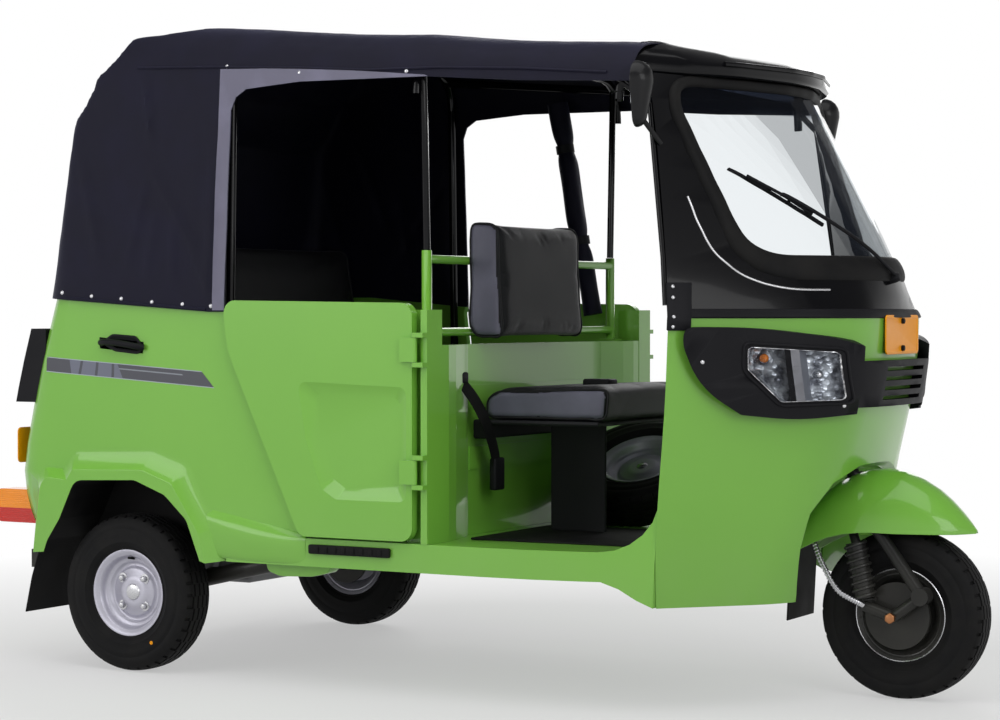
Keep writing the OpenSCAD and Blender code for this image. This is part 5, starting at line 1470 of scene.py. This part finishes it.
# exhaust behind the engine
pipe = revolve([(0.0, -0.172), (0.030, -0.170), (0.043, -0.160), (0.046, -0.145), (0.046, 0.145), (0.043, 0.160), (0.030, 0.170), (0.0, 0.172)],
               at(-250, 0, 262), (0, 1, 0), 40)
tail = tube([at(-250, 130, 240), at(-270, 150, 214), at(-310, 156, 204), at(-352, 158, 202)], 0.015, sides=4)
head = tube([at(-150, -60, 214), at(-190, -60, 200), at(-232, -60, 212), at(-250, -60, 236)], 0.016, sides=4)
settle(joinAll([pipe, tail, head]), "exhaust", "body", "engine_grey", angle=50)

# green bracket under each sill, and the mat on the driver's floor
brackets2 = []
for s in (-1, 1):
    line = rounded([(452, 331), (660, 322), (650, 300), (600, 288), (500, 284), (462, 296)], 10, 4)
    plate = prism("plate", [at(p.x, s * 560, p.y) for p in line], (0, s * 0.045, 0))
    modify(plate, "BEVEL", width=0.006, segments=3, limit_method="ANGLE")
    brackets2.append(plate)
settle(joinAll(brackets2), "sillBrackets", "body", "body_green", angle=40)
line = rounded([(985, -470), (1490, -440), (1490, -20), (985, -20)], 24, 6)
mat = prism("mat", [at(p.x, p.y, 390.4) for p in line], (0, 0, 0.0045))
modify(mat, "BEVEL", width=0.0015, segments=2, limit_method="ANGLE")
settle(mat, "floorMat", "body", "rubber_black", angle=40)

# balance dots on the rear tyres, nut on the front axle
dots = {}
for s, node in ((-1, "rear_tyre_right"), (1, "rear_tyre_left")):
    place = Vector((rearAxle.x, s * 0.6104, rearAxle.z)) + Vector((0.088, 0, -0.128))
    settle(revolve([(0.0, 0.0012), (0.0045, 0.0010), (0.0052, 0.0), (0.0, 0.0)], place, (0, s, 0), 20), "balanceDot" + ("Right" if s < 0 else "Left"),
           bodyOf[node], "plate_yellow", angle=40)
nuts = [bolt(frontAxle + Vector((0, s * (axleHalf + 0.004), 0)), (0, s, 0), 0.014, 0.012) for s in (-1, 1)]
settle(joinAll(nuts), "frontAxleNuts", bodyOf["front_fork"], "rim_black", copper, angle=35)
print("running gear done")

# floor and world
stage = {"size": 80, "floor": (0.55, 0.55, 0.55), "near": 1.4, "far": 3.6, "light": 0.42, "ceiling": 0.2, "wall": (0.12, 0.5)}


def makeStage():
    clearSelection()
    bpy.ops.mesh.primitive_plane_add(size=stage["size"], location=(0, 0, 0))
    floor = bpy.context.object
    floor.name = "paleFloor"
    f = Finish("paleFloor", Roughness=0.7)
    f.set("Base Color", rgb(stage["floor"]))
    place = f.add("ShaderNodeTexCoord", out="Object")
    reach = f.add("ShaderNodeVectorMath", {"operation": "LENGTH"}, {0: place}, "Value")
    away = f.add("ShaderNodeMapRange", {}, {0: reach, 1: stage["near"], 2: stage["far"]})
    rays = [f.add("ShaderNodeLightPath", out=name) for name in ("Is Camera Ray", "Is Glossy Ray", "Is Transmission Ray")]
    seen = rays[0].math("MAXIMUM", rays[0], rays[0].math("MAXIMUM", rays[1], rays[2]))
    white = f.add("ShaderNodeEmission", {}, {"Color": (1, 1, 1, 1), "Strength": 1.0})
    both = f.add("ShaderNodeMixShader", {}, {0: (0.45 + 0.55 * away) * seen, 1: Wire(f.tree, f.shader.outputs[0]), 2: white})
    f.tree.links.new(both.socket, f.tree.nodes["Material Output"].inputs["Surface"])
    floor.data.materials.append(f.material)
    world = bpy.data.worlds.new("studio")
    bpy.context.scene.world = world
    world.use_nodes = True
    tree = world.node_tree
    rays = [addNode(tree, "ShaderNodeLightPath", {}, {}, name)
            for name in ("Is Camera Ray", "Is Glossy Ray", "Is Transmission Ray")]
    seen = rays[0].math("MAXIMUM", rays[0], rays[0].math("MAXIMUM", rays[1], rays[2]))
    way = addNode(tree, "ShaderNodeTexCoord", {}, {}, "Generated")
    rise = addNode(tree, "ShaderNodeSeparateXYZ", {}, {"Vector": way}, "Z")
    low, high = stage["wall"]
    wall = addNode(tree, "ShaderNodeMapRange", {"interpolation_type": "SMOOTHSTEP"}, {0: rise, 1: low, 2: high, 3: 1.0, 4: stage["ceiling"]})
    strength = stage["light"] + (wall - stage["light"]) * seen
    back = tree.nodes["Background"]
    back.inputs["Color"].default_value = (1, 1, 1, 1)
    tree.links.new(strength.socket, back.inputs["Strength"])


makeStage()
bpy.context.scene.view_settings.view_transform = "Standard"
